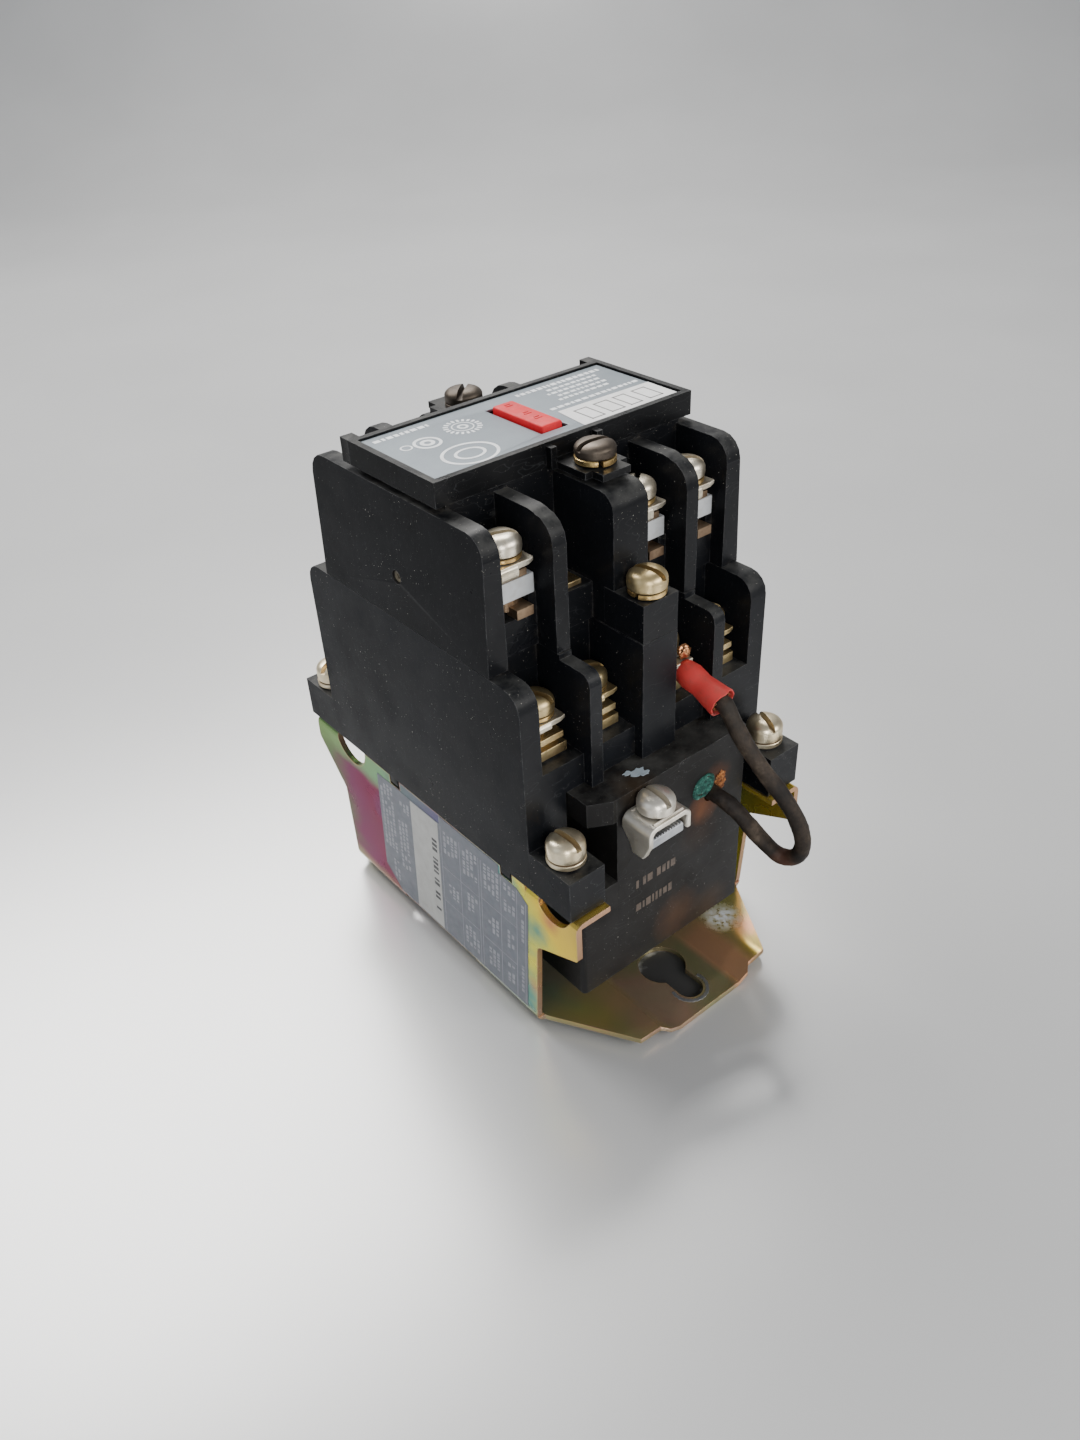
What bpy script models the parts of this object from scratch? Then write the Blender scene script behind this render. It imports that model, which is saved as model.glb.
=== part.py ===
"""Two-deck panel-mounted control contactor with an encapsulated DC coil, one named object per real piece.

Frame: origin at the centre of the mounting plane, +Z up to the face, X across, -Y the coil-terminal end.
All constants are in millimetres and are scaled to metres when a mesh is made.
"""

import math

import bmesh
import bpy
from mathutils import Matrix, Vector

MM = 0.001
CLEAR = 0.3
SEGMENTS = 16
SHARP_ANGLE = math.radians(35.0)

# base bracket
WALL_X = 28.85
SHEET = 1.2
WALL_TOP = 37.7
FOOT_Y = 50.2
FLANK_Z = 1.8
BEND_R = 1.8
SLOT_Y = 44.45
SLOT_R = 2.75
KEY_Y = 36.6
KEY_R = 4.9

# lower housing
HOUSE_X = 29.0
LOWER_Y = 32.55
LOWER_Z0 = 38.0
LOWER_Z1 = 79.0
SHELF_Z = 61.6
APRON_Z = 55.4
SIDE_WALL = 4.0
EAR_X0 = 21.1
EAR_Y = 43.3
EAR_Z = 46.75
EAR_SCREW = (25.05, 37.9)
LOWER_PARTITION_X = 14.6
POST_HALF = 4.0
POST_Y = 34.6

# upper housing
UPPER_Z0 = 79.15
UPPER_Z1 = 103.36
UPPER_Y = 25.1
UPPER_TOP_X = 28.2
CORE_Y = 12.5
CORE_TOP = 104.2
UPPER_SHELF_Z = 89.0
UNUSED_SHELF_Z = 86.2
UPPER_PARTITION_X = 14.75
UPPER_PARTITION_Y = 26.95
TOWER_HALF = 3.85
TOWER_Y = 27.4
FOOT_TOP = 86.3
POST_SCREW_Y = 31.3
TOWER_SCREW_NEAR = -19.0
TOWER_SCREW_FAR = 16.9

# top cover and nameplate
COVER_X = 27.9
COVER_Y = 13.25
COVER_FAR_Y = 11.6
COVER_Z0 = 104.4
COVER_Z1 = 108.75
RIM = 1.2
PLATE_INSET = 0.4
PLATE_T = 0.35
TAB_HALF = 4.5
TAB_Y = 24.2
TAB_T = 1.2
SLOT_TURN = {
    "ear_screw_near_left": 93, "ear_screw_near_right": 68,
    "ear_screw_far_left": 20, "ear_screw_far_right": 50,
    "deck_screw_near": 96, "deck_screw_far": 30, "cover_screw_near": -5, "cover_screw_far": 42,
}
BUTTON_SLOT = (2.9, 7.7)
BUTTON_Y = -1.4

# contacts
LOWER_POLES = (-20.6, -8.7, 8.7, 20.6)
UPPER_POLES = (-20.6, 8.7, 20.6)
LOWER_TERMINAL_Y = 25.8
UPPER_TERMINAL_Y = 19.5
LOWER_STRIP_Z = 65.1
UPPER_STRIP_Z = 93.0
STRIP_T = 1.2
PRESSURE_T = 1.1
LOWER_PLATE_Z = 67.7
UPPER_PLATE_Z = 94.9
STRIP_HALF = 2.6
STRIP_INNER_Y = 8.0
BRIDGE_GAP = 4.3
TRAVEL = 4.0
HEAD_R = 3.5
SHANK_R = 1.5

# coil, magnet and moving parts
COIL_FRONT_Y = 39.5
COIL_Z0 = 12.3
COIL_Z1 = 55.0
CORE_R = 7.0
ARMATURE_Z = 59.2
ARMATURE_T = 3.0
STEM_HALF = (3.8, 5.0)
CLAMP_X = -9.0
CLAMP_Y = -43.2

# jumper lead
WIRE_R = 1.65
SLEEVE_R = 2.6
SLEEVE_START = (8.8, -31.0, 67.4)
SLEEVE_END = (9.3, -40.9, 64.3)
WIRE_PATH = (
    (9.7, -43.1, 61.5), (10.4, -45.3, 57.8), (12.1, -49.1, 52.1), (14.1, -52.5, 47.0),
    (15.6, -54.9, 42.0), (16.2, -56.0, 37.2), (16.1, -54.8, 33.4), (15.2, -51.8, 32.3),
    (13.3, -48.6, 35.5), (11.2, -45.6, 40.0), (10.0, -43.2, 42.4), (9.3, -40.8, 43.4),
    (9.1, -38.6, 43.6), (9.1, -36.6, 43.6),
)

COLOURS = {
    "moulding": ((0.035, 0.037, 0.042), 0.0, 0.45),
    "moulding_edge": ((0.030, 0.031, 0.035), 0.0, 0.5),
    "zinc": ((0.33, 0.31, 0.20), 0.9, 0.35),
    "iron": ((0.28, 0.27, 0.26), 0.9, 0.5),
    "brass": ((0.60, 0.47, 0.26), 1.0, 0.35),
    "nickel": ((0.62, 0.58, 0.50), 1.0, 0.3),
    "plate": ((0.22, 0.26, 0.30), 0.3, 0.4),
    "red": ((0.60, 0.02, 0.03), 0.0, 0.4),
    "white": ((0.75, 0.76, 0.76), 0.0, 0.5),
    "wire": ((0.05, 0.04, 0.035), 0.0, 0.6),
    "sleeve": ((0.42, 0.05, 0.04), 0.0, 0.5),
    "spring": ((0.55, 0.55, 0.55), 1.0, 0.3),
}


# ---- mesh helpers ----


def clear_scene():
    """Remove every object, so the scene holds only this part."""
    for obj in list(bpy.data.objects):
        bpy.data.objects.remove(obj, do_unlink=True)


def material(name):
    """Principled BSDF material for one kind of surface."""
    found = bpy.data.materials.get(name)
    if found:
        return found
    colour, metallic, roughness = COLOURS[name]
    mat = bpy.data.materials.new(name)
    mat.use_nodes = True
    shader = mat.node_tree.nodes["Principled BSDF"]
    shader.inputs["Base Color"].default_value = (*colour, 1.0)
    shader.inputs["Metallic"].default_value = metallic
    shader.inputs["Roughness"].default_value = roughness
    mat.diffuse_color = (*colour, 1.0)
    return mat


def solid(name, vertices, faces):
    """Closed mesh object from millimetre vertices, normals facing out."""
    mesh = bpy.data.meshes.new(name)
    bm = bmesh.new()
    made = [bm.verts.new(Vector(v) * MM) for v in vertices]
    for face in faces:
        bm.faces.new([made[i] for i in face])
    bmesh.ops.recalc_face_normals(bm, faces=bm.faces)
    bm.to_mesh(mesh)
    bm.free()
    obj = bpy.data.objects.new(name, mesh)
    bpy.context.scene.collection.objects.link(obj)
    return obj


def prism(name, outline, axis, start, stop):
    """Outline extruded along an axis: x takes (y, z) points, y takes (x, z), z takes (x, y)."""
    place = {
        "x": lambda p, a: (a, p[0], p[1]),
        "y": lambda p, a: (p[0], a, p[1]),
        "z": lambda p, a: (p[0], p[1], a),
    }[axis]
    count = len(outline)
    vertices = [place(p, start) for p in outline] + [place(p, stop) for p in outline]
    faces = [tuple(range(count)), tuple(range(2 * count - 1, count - 1, -1))]
    for i in range(count):
        j = (i + 1) % count
        faces.append((i, j, count + j, count + i))
    return solid(name, vertices, faces)


def box(name, x, y, z):
    """Box from (low, high) pairs."""
    x, y, z = sorted(x), sorted(y), sorted(z)
    outline = [(x[0], y[0]), (x[1], y[0]), (x[1], y[1]), (x[0], y[1])]
    return prism(name, outline, "z", z[0], z[1])


def lathe(name, profile, centre, segments=SEGMENTS):
    """Solid of revolution about a vertical axis; the profile of (radius, z) starts and ends on the axis."""
    vertices = [(centre[0], centre[1], profile[0][1])]
    inner = profile[1:-1]
    for radius, z in inner:
        for k in range(segments):
            turn = 2.0 * math.pi * k / segments
            vertices.append((centre[0] + radius * math.cos(turn), centre[1] + radius * math.sin(turn), z))
    vertices.append((centre[0], centre[1], profile[-1][1]))
    last = len(vertices) - 1
    faces = []
    for k in range(segments):
        n = (k + 1) % segments
        faces.append((0, 1 + n, 1 + k))
        for row in range(len(inner) - 1):
            low, high = 1 + row * segments, 1 + (row + 1) * segments
            faces.append((low + k, low + n, high + n, high + k))
        top = 1 + (len(inner) - 1) * segments
        faces.append((top + k, top + n, last))
    return solid(name, vertices, faces)


def cylinder(name, centre, radius, z0, z1, segments=SEGMENTS):
    """Upright cylinder."""
    return lathe(name, [(0.0, z0), (radius, z0), (radius, z1), (0.0, z1)], centre, segments)


def lying_cylinder(name, y, z, radius, x0, x1, segments=28):
    """Cylinder along X."""
    turns = [2.0 * math.pi * k / segments for k in range(segments)]
    outline = [(y + radius * math.cos(t), z + radius * math.sin(t)) for t in turns]
    return prism(name, outline, "x", x0, x1)


def tube(name, path, radius, segments=12):
    """Round bar swept along a list of points, with flat ends."""
    points = [Vector(p) for p in path]
    count = len(points)
    vertices = []
    side = None
    for i, point in enumerate(points):
        ahead = (points[min(i + 1, count - 1)] - points[max(i - 1, 0)]).normalized()
        if side is None:
            side = ahead.cross(Vector((0.0, 0.0, 1.0)))
            if side.length < 0.1:
                side = ahead.cross(Vector((0.0, 1.0, 0.0)))
        side = (side - ahead * side.dot(ahead)).normalized()
        other = ahead.cross(side)
        for k in range(segments):
            turn = 2.0 * math.pi * k / segments
            vertices.append(point + (side * math.cos(turn) + other * math.sin(turn)) * radius)
    faces = [tuple(range(segments)), tuple(range(count * segments - 1, (count - 1) * segments - 1, -1))]
    for i in range(count - 1):
        for k in range(segments):
            n = (k + 1) % segments
            low, high = i * segments, (i + 1) * segments
            faces.append((low + k, low + n, high + n, high + k))
    return solid(name, vertices, faces)


def smooth_path(points, steps):
    """Catmull-Rom curve through the points."""
    pts = [Vector(p) for p in points]
    pts = [pts[0] * 2.0 - pts[1]] + pts + [pts[-1] * 2.0 - pts[-2]]
    out = []
    for i in range(1, len(pts) - 2):
        a, b, c, d = pts[i - 1:i + 3]
        for s in range(steps):
            t = s / steps
            out.append(0.5 * (2 * b + (c - a) * t + (2 * a - 5 * b + 4 * c - d) * t ** 2
                              + (3 * b - a - 3 * c + d) * t ** 3))
    out.append(pts[-2])
    return out


def rounded(outline, radii, steps=4):
    """Outline with the corners listed in radii ({index: radius}) replaced by arcs."""
    out = []
    count = len(outline)
    for i, corner in enumerate(outline):
        radius = radii.get(i, 0.0)
        if not radius:
            out.append(tuple(corner))
            continue
        point = Vector(corner)
        back = (Vector(outline[i - 1]) - point).normalized()
        ahead = (Vector(outline[(i + 1) % count]) - point).normalized()
        half = back.angle(ahead) / 2.0
        centre = point + (back + ahead).normalized() * (radius / math.sin(half))
        start = point + back * (radius / math.tan(half)) - centre
        stop = point + ahead * (radius / math.tan(half)) - centre
        sweep = math.atan2(start.x * stop.y - start.y * stop.x, start.dot(stop))
        for k in range(steps + 1):
            turn = sweep * k / steps
            cos, sin = math.cos(turn), math.sin(turn)
            out.append((centre.x + start.x * cos - start.y * sin, centre.y + start.x * sin + start.y * cos))
    return out


def combine(target, others, operation):
    """Exact boolean of the target with each of the others, which are used up."""
    for other in others:
        other.hide_render = True
        other.display_type = "WIRE"
        modifier = target.modifiers.new("boolean", "BOOLEAN")
        modifier.operation = operation
        modifier.solver = "EXACT"
        modifier.object = other
        bpy.context.view_layer.update()
        graph = bpy.context.evaluated_depsgraph_get()
        mesh = bpy.data.meshes.new_from_object(target.evaluated_get(graph))
        target.modifiers.clear()
        target.data = mesh
        bpy.data.objects.remove(other, do_unlink=True)
    return target


def join(target, others):
    return combine(target, others, "UNION")


def cut(target, others):
    return combine(target, others, "DIFFERENCE")


def moved(obj, offset=(0, 0, 0), turn=0.0):
    """Move the mesh of an object, after a turn about its own vertical axis."""
    obj.data.transform(Matrix.Translation(Vector(offset) * MM) @ Matrix.Rotation(turn, 4, "Z"))
    return obj


def finish(obj, name, look, origin=(0.0, 0.0, 0.0)):
    """Name the piece, tidy its mesh, put its origin in place and give it its material."""
    bm = bmesh.new()
    bm.from_mesh(obj.data)
    bmesh.ops.remove_doubles(bm, verts=bm.verts, dist=0.004 * MM)
    bmesh.ops.dissolve_limit(bm, angle_limit=0.005, verts=bm.verts, edges=bm.edges)
    bmesh.ops.triangulate(bm, faces=bm.faces)
    bmesh.ops.recalc_face_normals(bm, faces=bm.faces)
    bm.to_mesh(obj.data)
    bm.free()
    place = Vector(origin) * MM
    obj.data.transform(Matrix.Translation(-place))
    obj.location = place
    obj.name = name
    obj.data.name = name
    obj.data.materials.clear()
    obj.data.materials.append(material(look))
    obj.data.shade_smooth()
    obj.data.set_sharp_from_angle(angle=SHARP_ANGLE)
    return obj


# ---- sheet-metal base ----


def channel_outline():
    """Cross-section of the bent sheet: two walls, raised flanks and a lower central panel."""
    flank, top, inner = FLANK_Z, WALL_TOP, WALL_X - SHEET
    outer = [(WALL_X, top), (WALL_X, flank), (12.0, flank), (8.0, 0.0),
             (-8.0, 0.0), (-12.0, flank), (-WALL_X, flank), (-WALL_X, top)]
    inside = [(-inner, top), (-inner, flank + SHEET), (-12.5, flank + SHEET), (-8.5, SHEET),
              (8.5, SHEET), (12.5, flank + SHEET), (inner, flank + SHEET), (inner, top)]
    return rounded(outer, {1: 2.2, 6: 2.2}) + rounded(inside, {1: 1.0, 6: 1.0})


def wall_cutters():
    """Regions of the walls beyond the near and far edges, below the corner tabs."""
    near = rounded(
        [(-52, 3.1), (-31.5, 3.1), (-33.0, 24.0), (-35.4, 25.1), (-44.5, 29.1), (-44.5, 40), (-52, 40)],
        {2: 2.0, 4: 0.8})
    far = rounded(
        [(52, 3.1), (33.6, 3.1), (33.9, 22.3), (42.1, 32.3), (41.8, 40), (52, 40)], {3: 1.5})
    return [prism("near", near, "x", -32, 32), prism("far", far, "x", -32, 32)]


def corner_cutters():
    """Plan corners of the two feet."""
    out = []
    for sx in (-1, 1):
        for sy, edge in ((-1, 31.7), (1, 33.6)):
            pts = [(30, edge), (27.2, edge + 0.1), (17.3, 48.6), (12.4, 48.9), (10.6, 50.4)]
            pts += [(10.6, 52), (30, 52)]
            out.append(prism("corner", [(sx * x, sy * y) for x, y in pts], "z", -2, 3.3))
    return out


def keyhole_cutters():
    """Keyholes of both feet: a large opening next to the body, a narrow slot outward."""
    out = []
    for sy in (-1, 1):
        out.append(cylinder("key", (0, sy * KEY_Y), KEY_R, -2, 5, 28))
        out.append(box("slot", (-SLOT_R, SLOT_R), (sy * KEY_Y, sy * SLOT_Y), (-2, 5)))
        out.append(cylinder("end", (0, sy * SLOT_Y), SLOT_R, -2, 5, 24))
    return out


def bend_cutters(sx):
    """Outer radius of the bends between one wall and its two corner tabs."""
    r = BEND_R
    arc = [(WALL_X - r + r * math.sin(a), WALL_TOP - r + r * math.cos(a))
           for a in (math.radians(15 * k) for k in range(7))]
    outline = [(sx * x, z) for x, z in arc + [(30.0, WALL_TOP - r), (30.0, 38.5), (WALL_X - r, 38.5)]]
    return [prism("bend", outline, "y", -46.0, -30.5), prism("bend", outline, "y", 30.5, 46.0)]


def base_bracket():
    obj = prism("bracket", channel_outline(), "y", -FOOT_Y, FOOT_Y)
    cut(obj, wall_cutters() + corner_cutters() + keyhole_cutters())
    for sx in (-1, 1):
        near = box("flange", (sx * 21.0, sx * 28.4), (-44.5, -31.9), (WALL_TOP - SHEET, WALL_TOP))
        far = box("flange", (sx * 21.0, sx * 28.4), (31.0, 41.9), (WALL_TOP - SHEET, WALL_TOP))
        join(obj, [near, far])
        x0, x1 = sx * 27.3, sx * 31.0
        holes = [
            lying_cylinder("relief", -38.15, 38.6, 4.55, x0, x1),
            lying_cylinder("relief", 28.2, 37.9, 5.6, x0, x1),
            *bend_cutters(sx),
        ]
        holes += [box("notch", (x0, x1), (y - 1.7, y + 1.7), (WALL_TOP - 2.2, 40)) for y in (-25.0, 11.5)]
        holes.append(box("step", (x0, x1), (-11.8, 14.2), (1.0, 3.9)))
        holes += [cylinder("thread", (sx * EAR_SCREW[0], sy * EAR_SCREW[1]), 1.75, 35, 39) for sy in (-1, 1)]
        cut(obj, holes)
    return finish(obj, "base_bracket", "zinc")


# ---- lower housing ----


def lower_side_outline():
    """Side wall seen along X: skirt with chamfered top corners."""
    y, z0, z1 = LOWER_Y, LOWER_Z0, LOWER_Z1
    return rounded([(-y, z0), (y, z0), (y, z1), (-y, z1)], {2: 3.8, 3: 3.8})


def lower_bay_cutters():
    """Open terminal bays of both ends, above the shelf, and the lowered crests between them."""
    out = []
    walls = [POST_HALF, LOWER_PARTITION_X - 1.3, LOWER_PARTITION_X + 1.3, HOUSE_X - SIDE_WALL]
    for sy in (-1, 1):
        for sx in (-1, 1):
            for a, b in ((walls[0], walls[1]), (walls[2], walls[3])):
                out.append(box("bay", (sx * a, sx * b), (sy * 21.0, sy * 36.0), (SHELF_Z, 84)))
            x = sx * LOWER_PARTITION_X
            across = (x - 1.5, x + 1.5)
            out.append(box("crest", across, (sy * (UPPER_PARTITION_Y + 0.2), sy * 36.0), (77.5, 84)))
    return out


def lower_partitions():
    """Centre posts and partitions, which stand proud of the aprons."""
    out = []
    for sy in (-1, 1):
        out.append(box("post", (-POST_HALF, POST_HALF), (sy * 20.0, sy * POST_Y), (APRON_Z, LOWER_Z1)))
        for x in (-LOWER_PARTITION_X, LOWER_PARTITION_X):
            face = rounded(
                [(sy * 20.0, APRON_Z), (sy * 34.6, APRON_Z), (sy * 34.6, 78.0), (sy * 20.0, 78.0)], {2: 2.2})
            out.append(prism("partition", face, "x", x - 1.3, x + 1.3))
    return out


def lower_housing():
    obj = prism("lower", lower_side_outline(), "x", -HOUSE_X, HOUSE_X)
    ears = []
    for sx in (-1, 1):
        for sy in (-1, 1):
            across = (sx * EAR_X0, sx * (HOUSE_X - 0.02))
            ears.append(box("ear", across, (sy * 31.0, sy * EAR_Y), (LOWER_Z0, EAR_Z)))
        for y in (-25.0, 11.5):
            across = (sx * 27.9, sx * 28.9)
            ears.append(box("hook", across, (y - 1.3, y + 1.3), (LOWER_Z0 - 1.7, LOWER_Z0 + 1)))
    join(obj, ears)
    cut(obj, [
        box("skirt", (-26.4, 26.4), (-30.4, 30.4), (30, 57.6)),
        box("chamber", (-24.5, 24.5), (-18.5, 18.5), (50, 85)),
        box("coil", (-20.2, 18.4), (-40.0, -20.0), (30, APRON_Z)),
    ])
    cut(obj, lower_bay_cutters())
    join(obj, lower_partitions())
    slots = []
    for sy in (-1, 1):
        for x in LOWER_POLES:
            opening = (LOWER_STRIP_Z - 0.3, LOWER_STRIP_Z + STRIP_T + 0.3)
            slots.append(box("slot", (x - 3.0, x + 3.0), (sy * 17.0, sy * 23.0), opening))
        slots.append(cylinder("post_thread", (0, sy * POST_SCREW_Y), 1.75, 68, 82))
        for sx in (-1, 1):
            slots.append(cylinder("ear_hole", (sx * EAR_SCREW[0], sy * EAR_SCREW[1]), 1.75, 36, 50))
    cut(obj, slots)
    return finish(obj, "lower_housing", "moulding")


# ---- upper housing ----


def upper_block():
    """Block with side walls that draft inward to the top."""
    lean = HOUSE_X - UPPER_TOP_X
    top_x = HOUSE_X - lean
    face = [(-HOUSE_X, UPPER_Z0), (HOUSE_X, UPPER_Z0), (top_x, UPPER_Z1), (-top_x, UPPER_Z1)]
    obj = prism("upper", face, "y", -UPPER_Y, UPPER_Y)
    side = rounded(
        [(-UPPER_Y, 70), (UPPER_Y, 70), (UPPER_Y, UPPER_Z1), (-UPPER_Y, UPPER_Z1)], {2: 4.0, 3: 4.0})
    return combine(obj, [prism("round", side, "x", -40, 40)], "INTERSECT")


def upper_bay_cutters():
    """Terminal bays with a deep recess along their outer edge; the unused bay has a lower shelf."""
    out = []
    inner, outer = UPPER_PARTITION_X - 1.4, UPPER_PARTITION_X + 1.4
    for sy in (-1, 1):
        for a, b in ((-25, -outer), (-inner, -TOWER_HALF), (TOWER_HALF, inner), (outer, 25)):
            floor = UNUSED_SHELF_Z if -outer < a < -TOWER_HALF else UPPER_SHELF_Z
            out.append(box("bay", (a, b), (sy * CORE_Y, sy * 29), (floor, 110)))
            out.append(box("drop", (a, b), (sy * 22.0, sy * 29), (70, 110)))
    return out


def upper_walls():
    """Partitions, centre towers and the feet that carry the deck screws."""
    out = []
    for sy in (-1, 1):
        y0, y1 = sy * 11.5, sy * UPPER_PARTITION_Y
        for x in (-UPPER_PARTITION_X, UPPER_PARTITION_X):
            face = [(y0, UPPER_Z0), (y1, UPPER_Z0), (y1, 103.0), (y0, 103.0)]
            if sy > 0:
                face = face[:2] + [(y1, 104.8), (14.6, 104.8), (14.6, 103.0), (y0, 103.0)]
            face = rounded(face, {2: 4.5})
            out.append(prism("partition", face, "x", x - 1.4, x + 1.4))
        face = rounded(
            [(y0, UPPER_Z0), (sy * TOWER_Y, UPPER_Z0), (sy * TOWER_Y, 103.3), (y0, 103.3)], {2: 3.2})
        out.append(prism("tower", face, "x", -TOWER_HALF, TOWER_HALF))
        half = POST_HALF - 0.05
        out.append(box("foot", (-half, half), (sy * 25.0, sy * POST_Y), (UPPER_Z0, FOOT_TOP)))
    return out


def upper_housing():
    obj = upper_block()
    join(obj, [box("core", (-25.6, 25.6), (-CORE_Y, CORE_Y), (100, CORE_TOP))])
    cut(obj, upper_bay_cutters())
    join(obj, upper_walls())
    cut(obj, [
        box("chamber", (-24.4, 24.4), (-10.5, 10.5), (86, 110)),
        box("stem", (-5.0, 5.0), (-6.2, 6.2), (70, 90)),
    ])
    cutters = []
    for x in UPPER_POLES:
        cutters.append(box("through", (x - 4.3, x + 4.3), (-24, 24), (UPPER_SHELF_Z - 0.01, 94.6)))
        for sy in (-1, 1):
            cutters.append(box("nut", (x - 2.9, x + 2.9), (sy * 15.5, sy * 24.5), (85.5, 90)))
    for sy in (-1, 1):
        cutters.append(cylinder("foot_hole", (0, sy * POST_SCREW_Y), 1.75, 70, 90))
        cutters.append(cylinder("tower_hole", (0, tower_screw_y(sy)), 1.75, 92, 110))
    for sx in (-1, 1):
        cutters.append(lying_cylinder("rivet", 0.1, 87.8, 1.3, sx * 28.0, sx * 30.0, 16))
    cut(obj, cutters)
    return finish(obj, "upper_housing", "moulding")


# ---- cover ----


def tower_screw_y(sy):
    """Place of the cover screw on the near (-1) or the far (1) tower."""
    return TOWER_SCREW_NEAR if sy < 0 else TOWER_SCREW_FAR


def top_cover():
    obj = box("cover", (-COVER_X, COVER_X), (-COVER_Y, COVER_FAR_Y), (COVER_Z0, COVER_Z1))
    tabs = [box("lug", (sx * 25.5, sx * (COVER_X - 0.02)), (8.0, 14.0), (COVER_Z0 + 0.01, COVER_Z1 - 0.01))
            for sx in (-1, 1)]
    for sy in (-1, 1):
        outline = [(-TAB_HALF, sy * 10.8), (TAB_HALF, sy * 10.8), (TAB_HALF, sy * 21.6), (3.0, sy * 21.6),
                   (3.0, sy * TAB_Y), (-3.0, sy * TAB_Y), (-3.0, sy * 21.6), (-TAB_HALF, sy * 21.6)]
        tabs.append(prism("tab", outline, "z", COVER_Z0, COVER_Z0 + TAB_T))
        for sx in (-1, 1):
            edge = COVER_Y if sy < 0 else COVER_FAR_Y
            tabs.append(box("lip", (sx * 4.4, sx * 5.6), (sy * (edge - 0.35), sy * (edge + 1.35)),
                            (COVER_Z0, COVER_Z1 - 0.6)))
    join(obj, tabs)
    recess = COVER_Z1 - PLATE_INSET - PLATE_T - 0.05
    cutters = [
        box("under", (-25.2, 25.2), (-11.4, 9.8), (100, 106.6)),
        box("recess", (-COVER_X + RIM, COVER_X - RIM), (-COVER_Y + RIM, COVER_FAR_Y - RIM), (recess, 112)),
        box("slot", (-BUTTON_SLOT[0], BUTTON_SLOT[0]),
            (BUTTON_Y - BUTTON_SLOT[1], BUTTON_Y + BUTTON_SLOT[1]), (100, 112)),
    ]
    cutters += [cylinder("hole", (0, tower_screw_y(sy)), 1.75, 100, 110) for sy in (-1, 1)]
    cut(obj, cutters)
    return finish(obj, "top_cover", "moulding")


def nameplate():
    x, near, far = COVER_X - RIM - 0.15, COVER_Y - RIM - 0.15, COVER_FAR_Y - RIM - 0.15
    top = COVER_Z1 - PLATE_INSET
    obj = box("nameplate", (-x, x), (-near, far), (top - PLATE_T, top))
    sx, sy = BUTTON_SLOT
    cut(obj, [box("slot", (-sx, sx), (BUTTON_Y - sy, BUTTON_Y + sy), (100, 112))])
    return finish(obj, "nameplate", "plate")


# ---- coil and magnet ----


def coil_body():
    front = -COIL_FRONT_Y
    obj = box("coil", (-14.7, 17.7), (front, 29.6), (COIL_Z0, COIL_Z1))
    wide = rounded([(-23.3, -24.0), (-23.3, front), (17.65, front), (17.65, -24.0)], {1: 0.9})
    slab = [(-19.6, -31.0), (-19.6, -37.2), (-15.5, front + 0.02), (-13.0, front + 0.02), (-13.0, -31.0)]
    join(obj, [
        prism("wide", wide, "z", COIL_Z0 + 0.02, 35.9),
        prism("slab", slab, "z", 50.0, COIL_Z1 - 0.02),
        box("terminal", (CLAMP_X - 3.7, CLAMP_X + 3.7), (front - 6.6, front + 1.0), (47.0, 48.6)),
    ])
    cut(obj, [
        cylinder("bore", (0, 0), CORE_R + CLEAR, 5, 60, 32),
        cylinder("terminal_hole", (CLAMP_X, CLAMP_Y), 2.0, 46, 49.5),
        tube("lead_entry", [(9.1, front - 2.0, 43.6), (9.1, front + 3.4, 43.6)], WIRE_R + CLEAR, 16),
    ])
    return finish(obj, "coil_body", "moulding_edge")


def magnet_frame():
    obj = box("yoke", (-26.2, 26.2), (-14.0, 14.0), (3.3, 11.9))
    legs = [box("leg", (sx * 19.5, sx * 26.1), (-13.98, 13.98), (11.0, 54.9)) for sx in (-1, 1)]
    legs.append(cylinder("core", (0, 0), CORE_R, 11.0, 54.9, 32))
    join(obj, legs)
    cut(obj, [cylinder("pocket", (0, 0), 4.4, 43.0, 60, 24)])
    return finish(obj, "magnet_frame", "iron")


def return_spring():
    turns, steps, radius = 6, 12, 3.3
    z0, z1 = 43.9, ARMATURE_Z - 0.9
    path = []
    for k in range(turns * steps + 1):
        angle = 2.0 * math.pi * k / steps
        z = z0 + (z1 - z0) * k / (turns * steps)
        path.append((radius * math.cos(angle), radius * math.sin(angle), z))
    return finish(tube("spring", path, 0.45, 6), "return_spring", "spring", (0, 0, 43.0))


def coil_terminal():
    """Saddle clamp bent over the coil terminal, with its captive screw."""
    x, y0, y1 = CLAMP_X, -46.9, -COIL_FRONT_Y - 0.3
    arch = rounded([(x - 5, 45.6), (x - 5, 52.0), (x + 5, 52.0), (x + 5, 46.3),
                    (x + 4.0, 46.3), (x + 4.0, 50.8), (x - 4.0, 50.8), (x - 4.0, 45.6)],
                   {1: 1.6, 2: 1.6, 5: 0.6, 6: 0.6})
    obj = prism("clamp", arch, "y", y0, y1)
    shape = [(0, 44.6), (1.45, 44.6), (1.45, 51.5), (2.6, 51.5), (2.6, 52.3), (3.4, 52.4), (3.45, 54.0),
             (2.7, 55.3), (1.4, 55.8), (0, 55.9)]
    join(obj, [lathe("screw", shape, (CLAMP_X, CLAMP_Y))])
    slot = box("slot", (-4, 4), (-0.6, 0.6), (54.4, 58))
    cut(obj, [moved(slot, (CLAMP_X, CLAMP_Y, 0), math.radians(88))])
    return finish(obj, "coil_terminal", "nickel", (CLAMP_X, CLAMP_Y, 50.0))


# ---- moving group ----


def armature():
    z0, z1 = ARMATURE_Z, ARMATURE_Z + ARMATURE_T
    obj = box("armature", (-24.0, 24.0), (-12.0, 12.0), (z0, z1))
    return finish(obj, "armature", "iron", (0, 0, z0))


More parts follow.
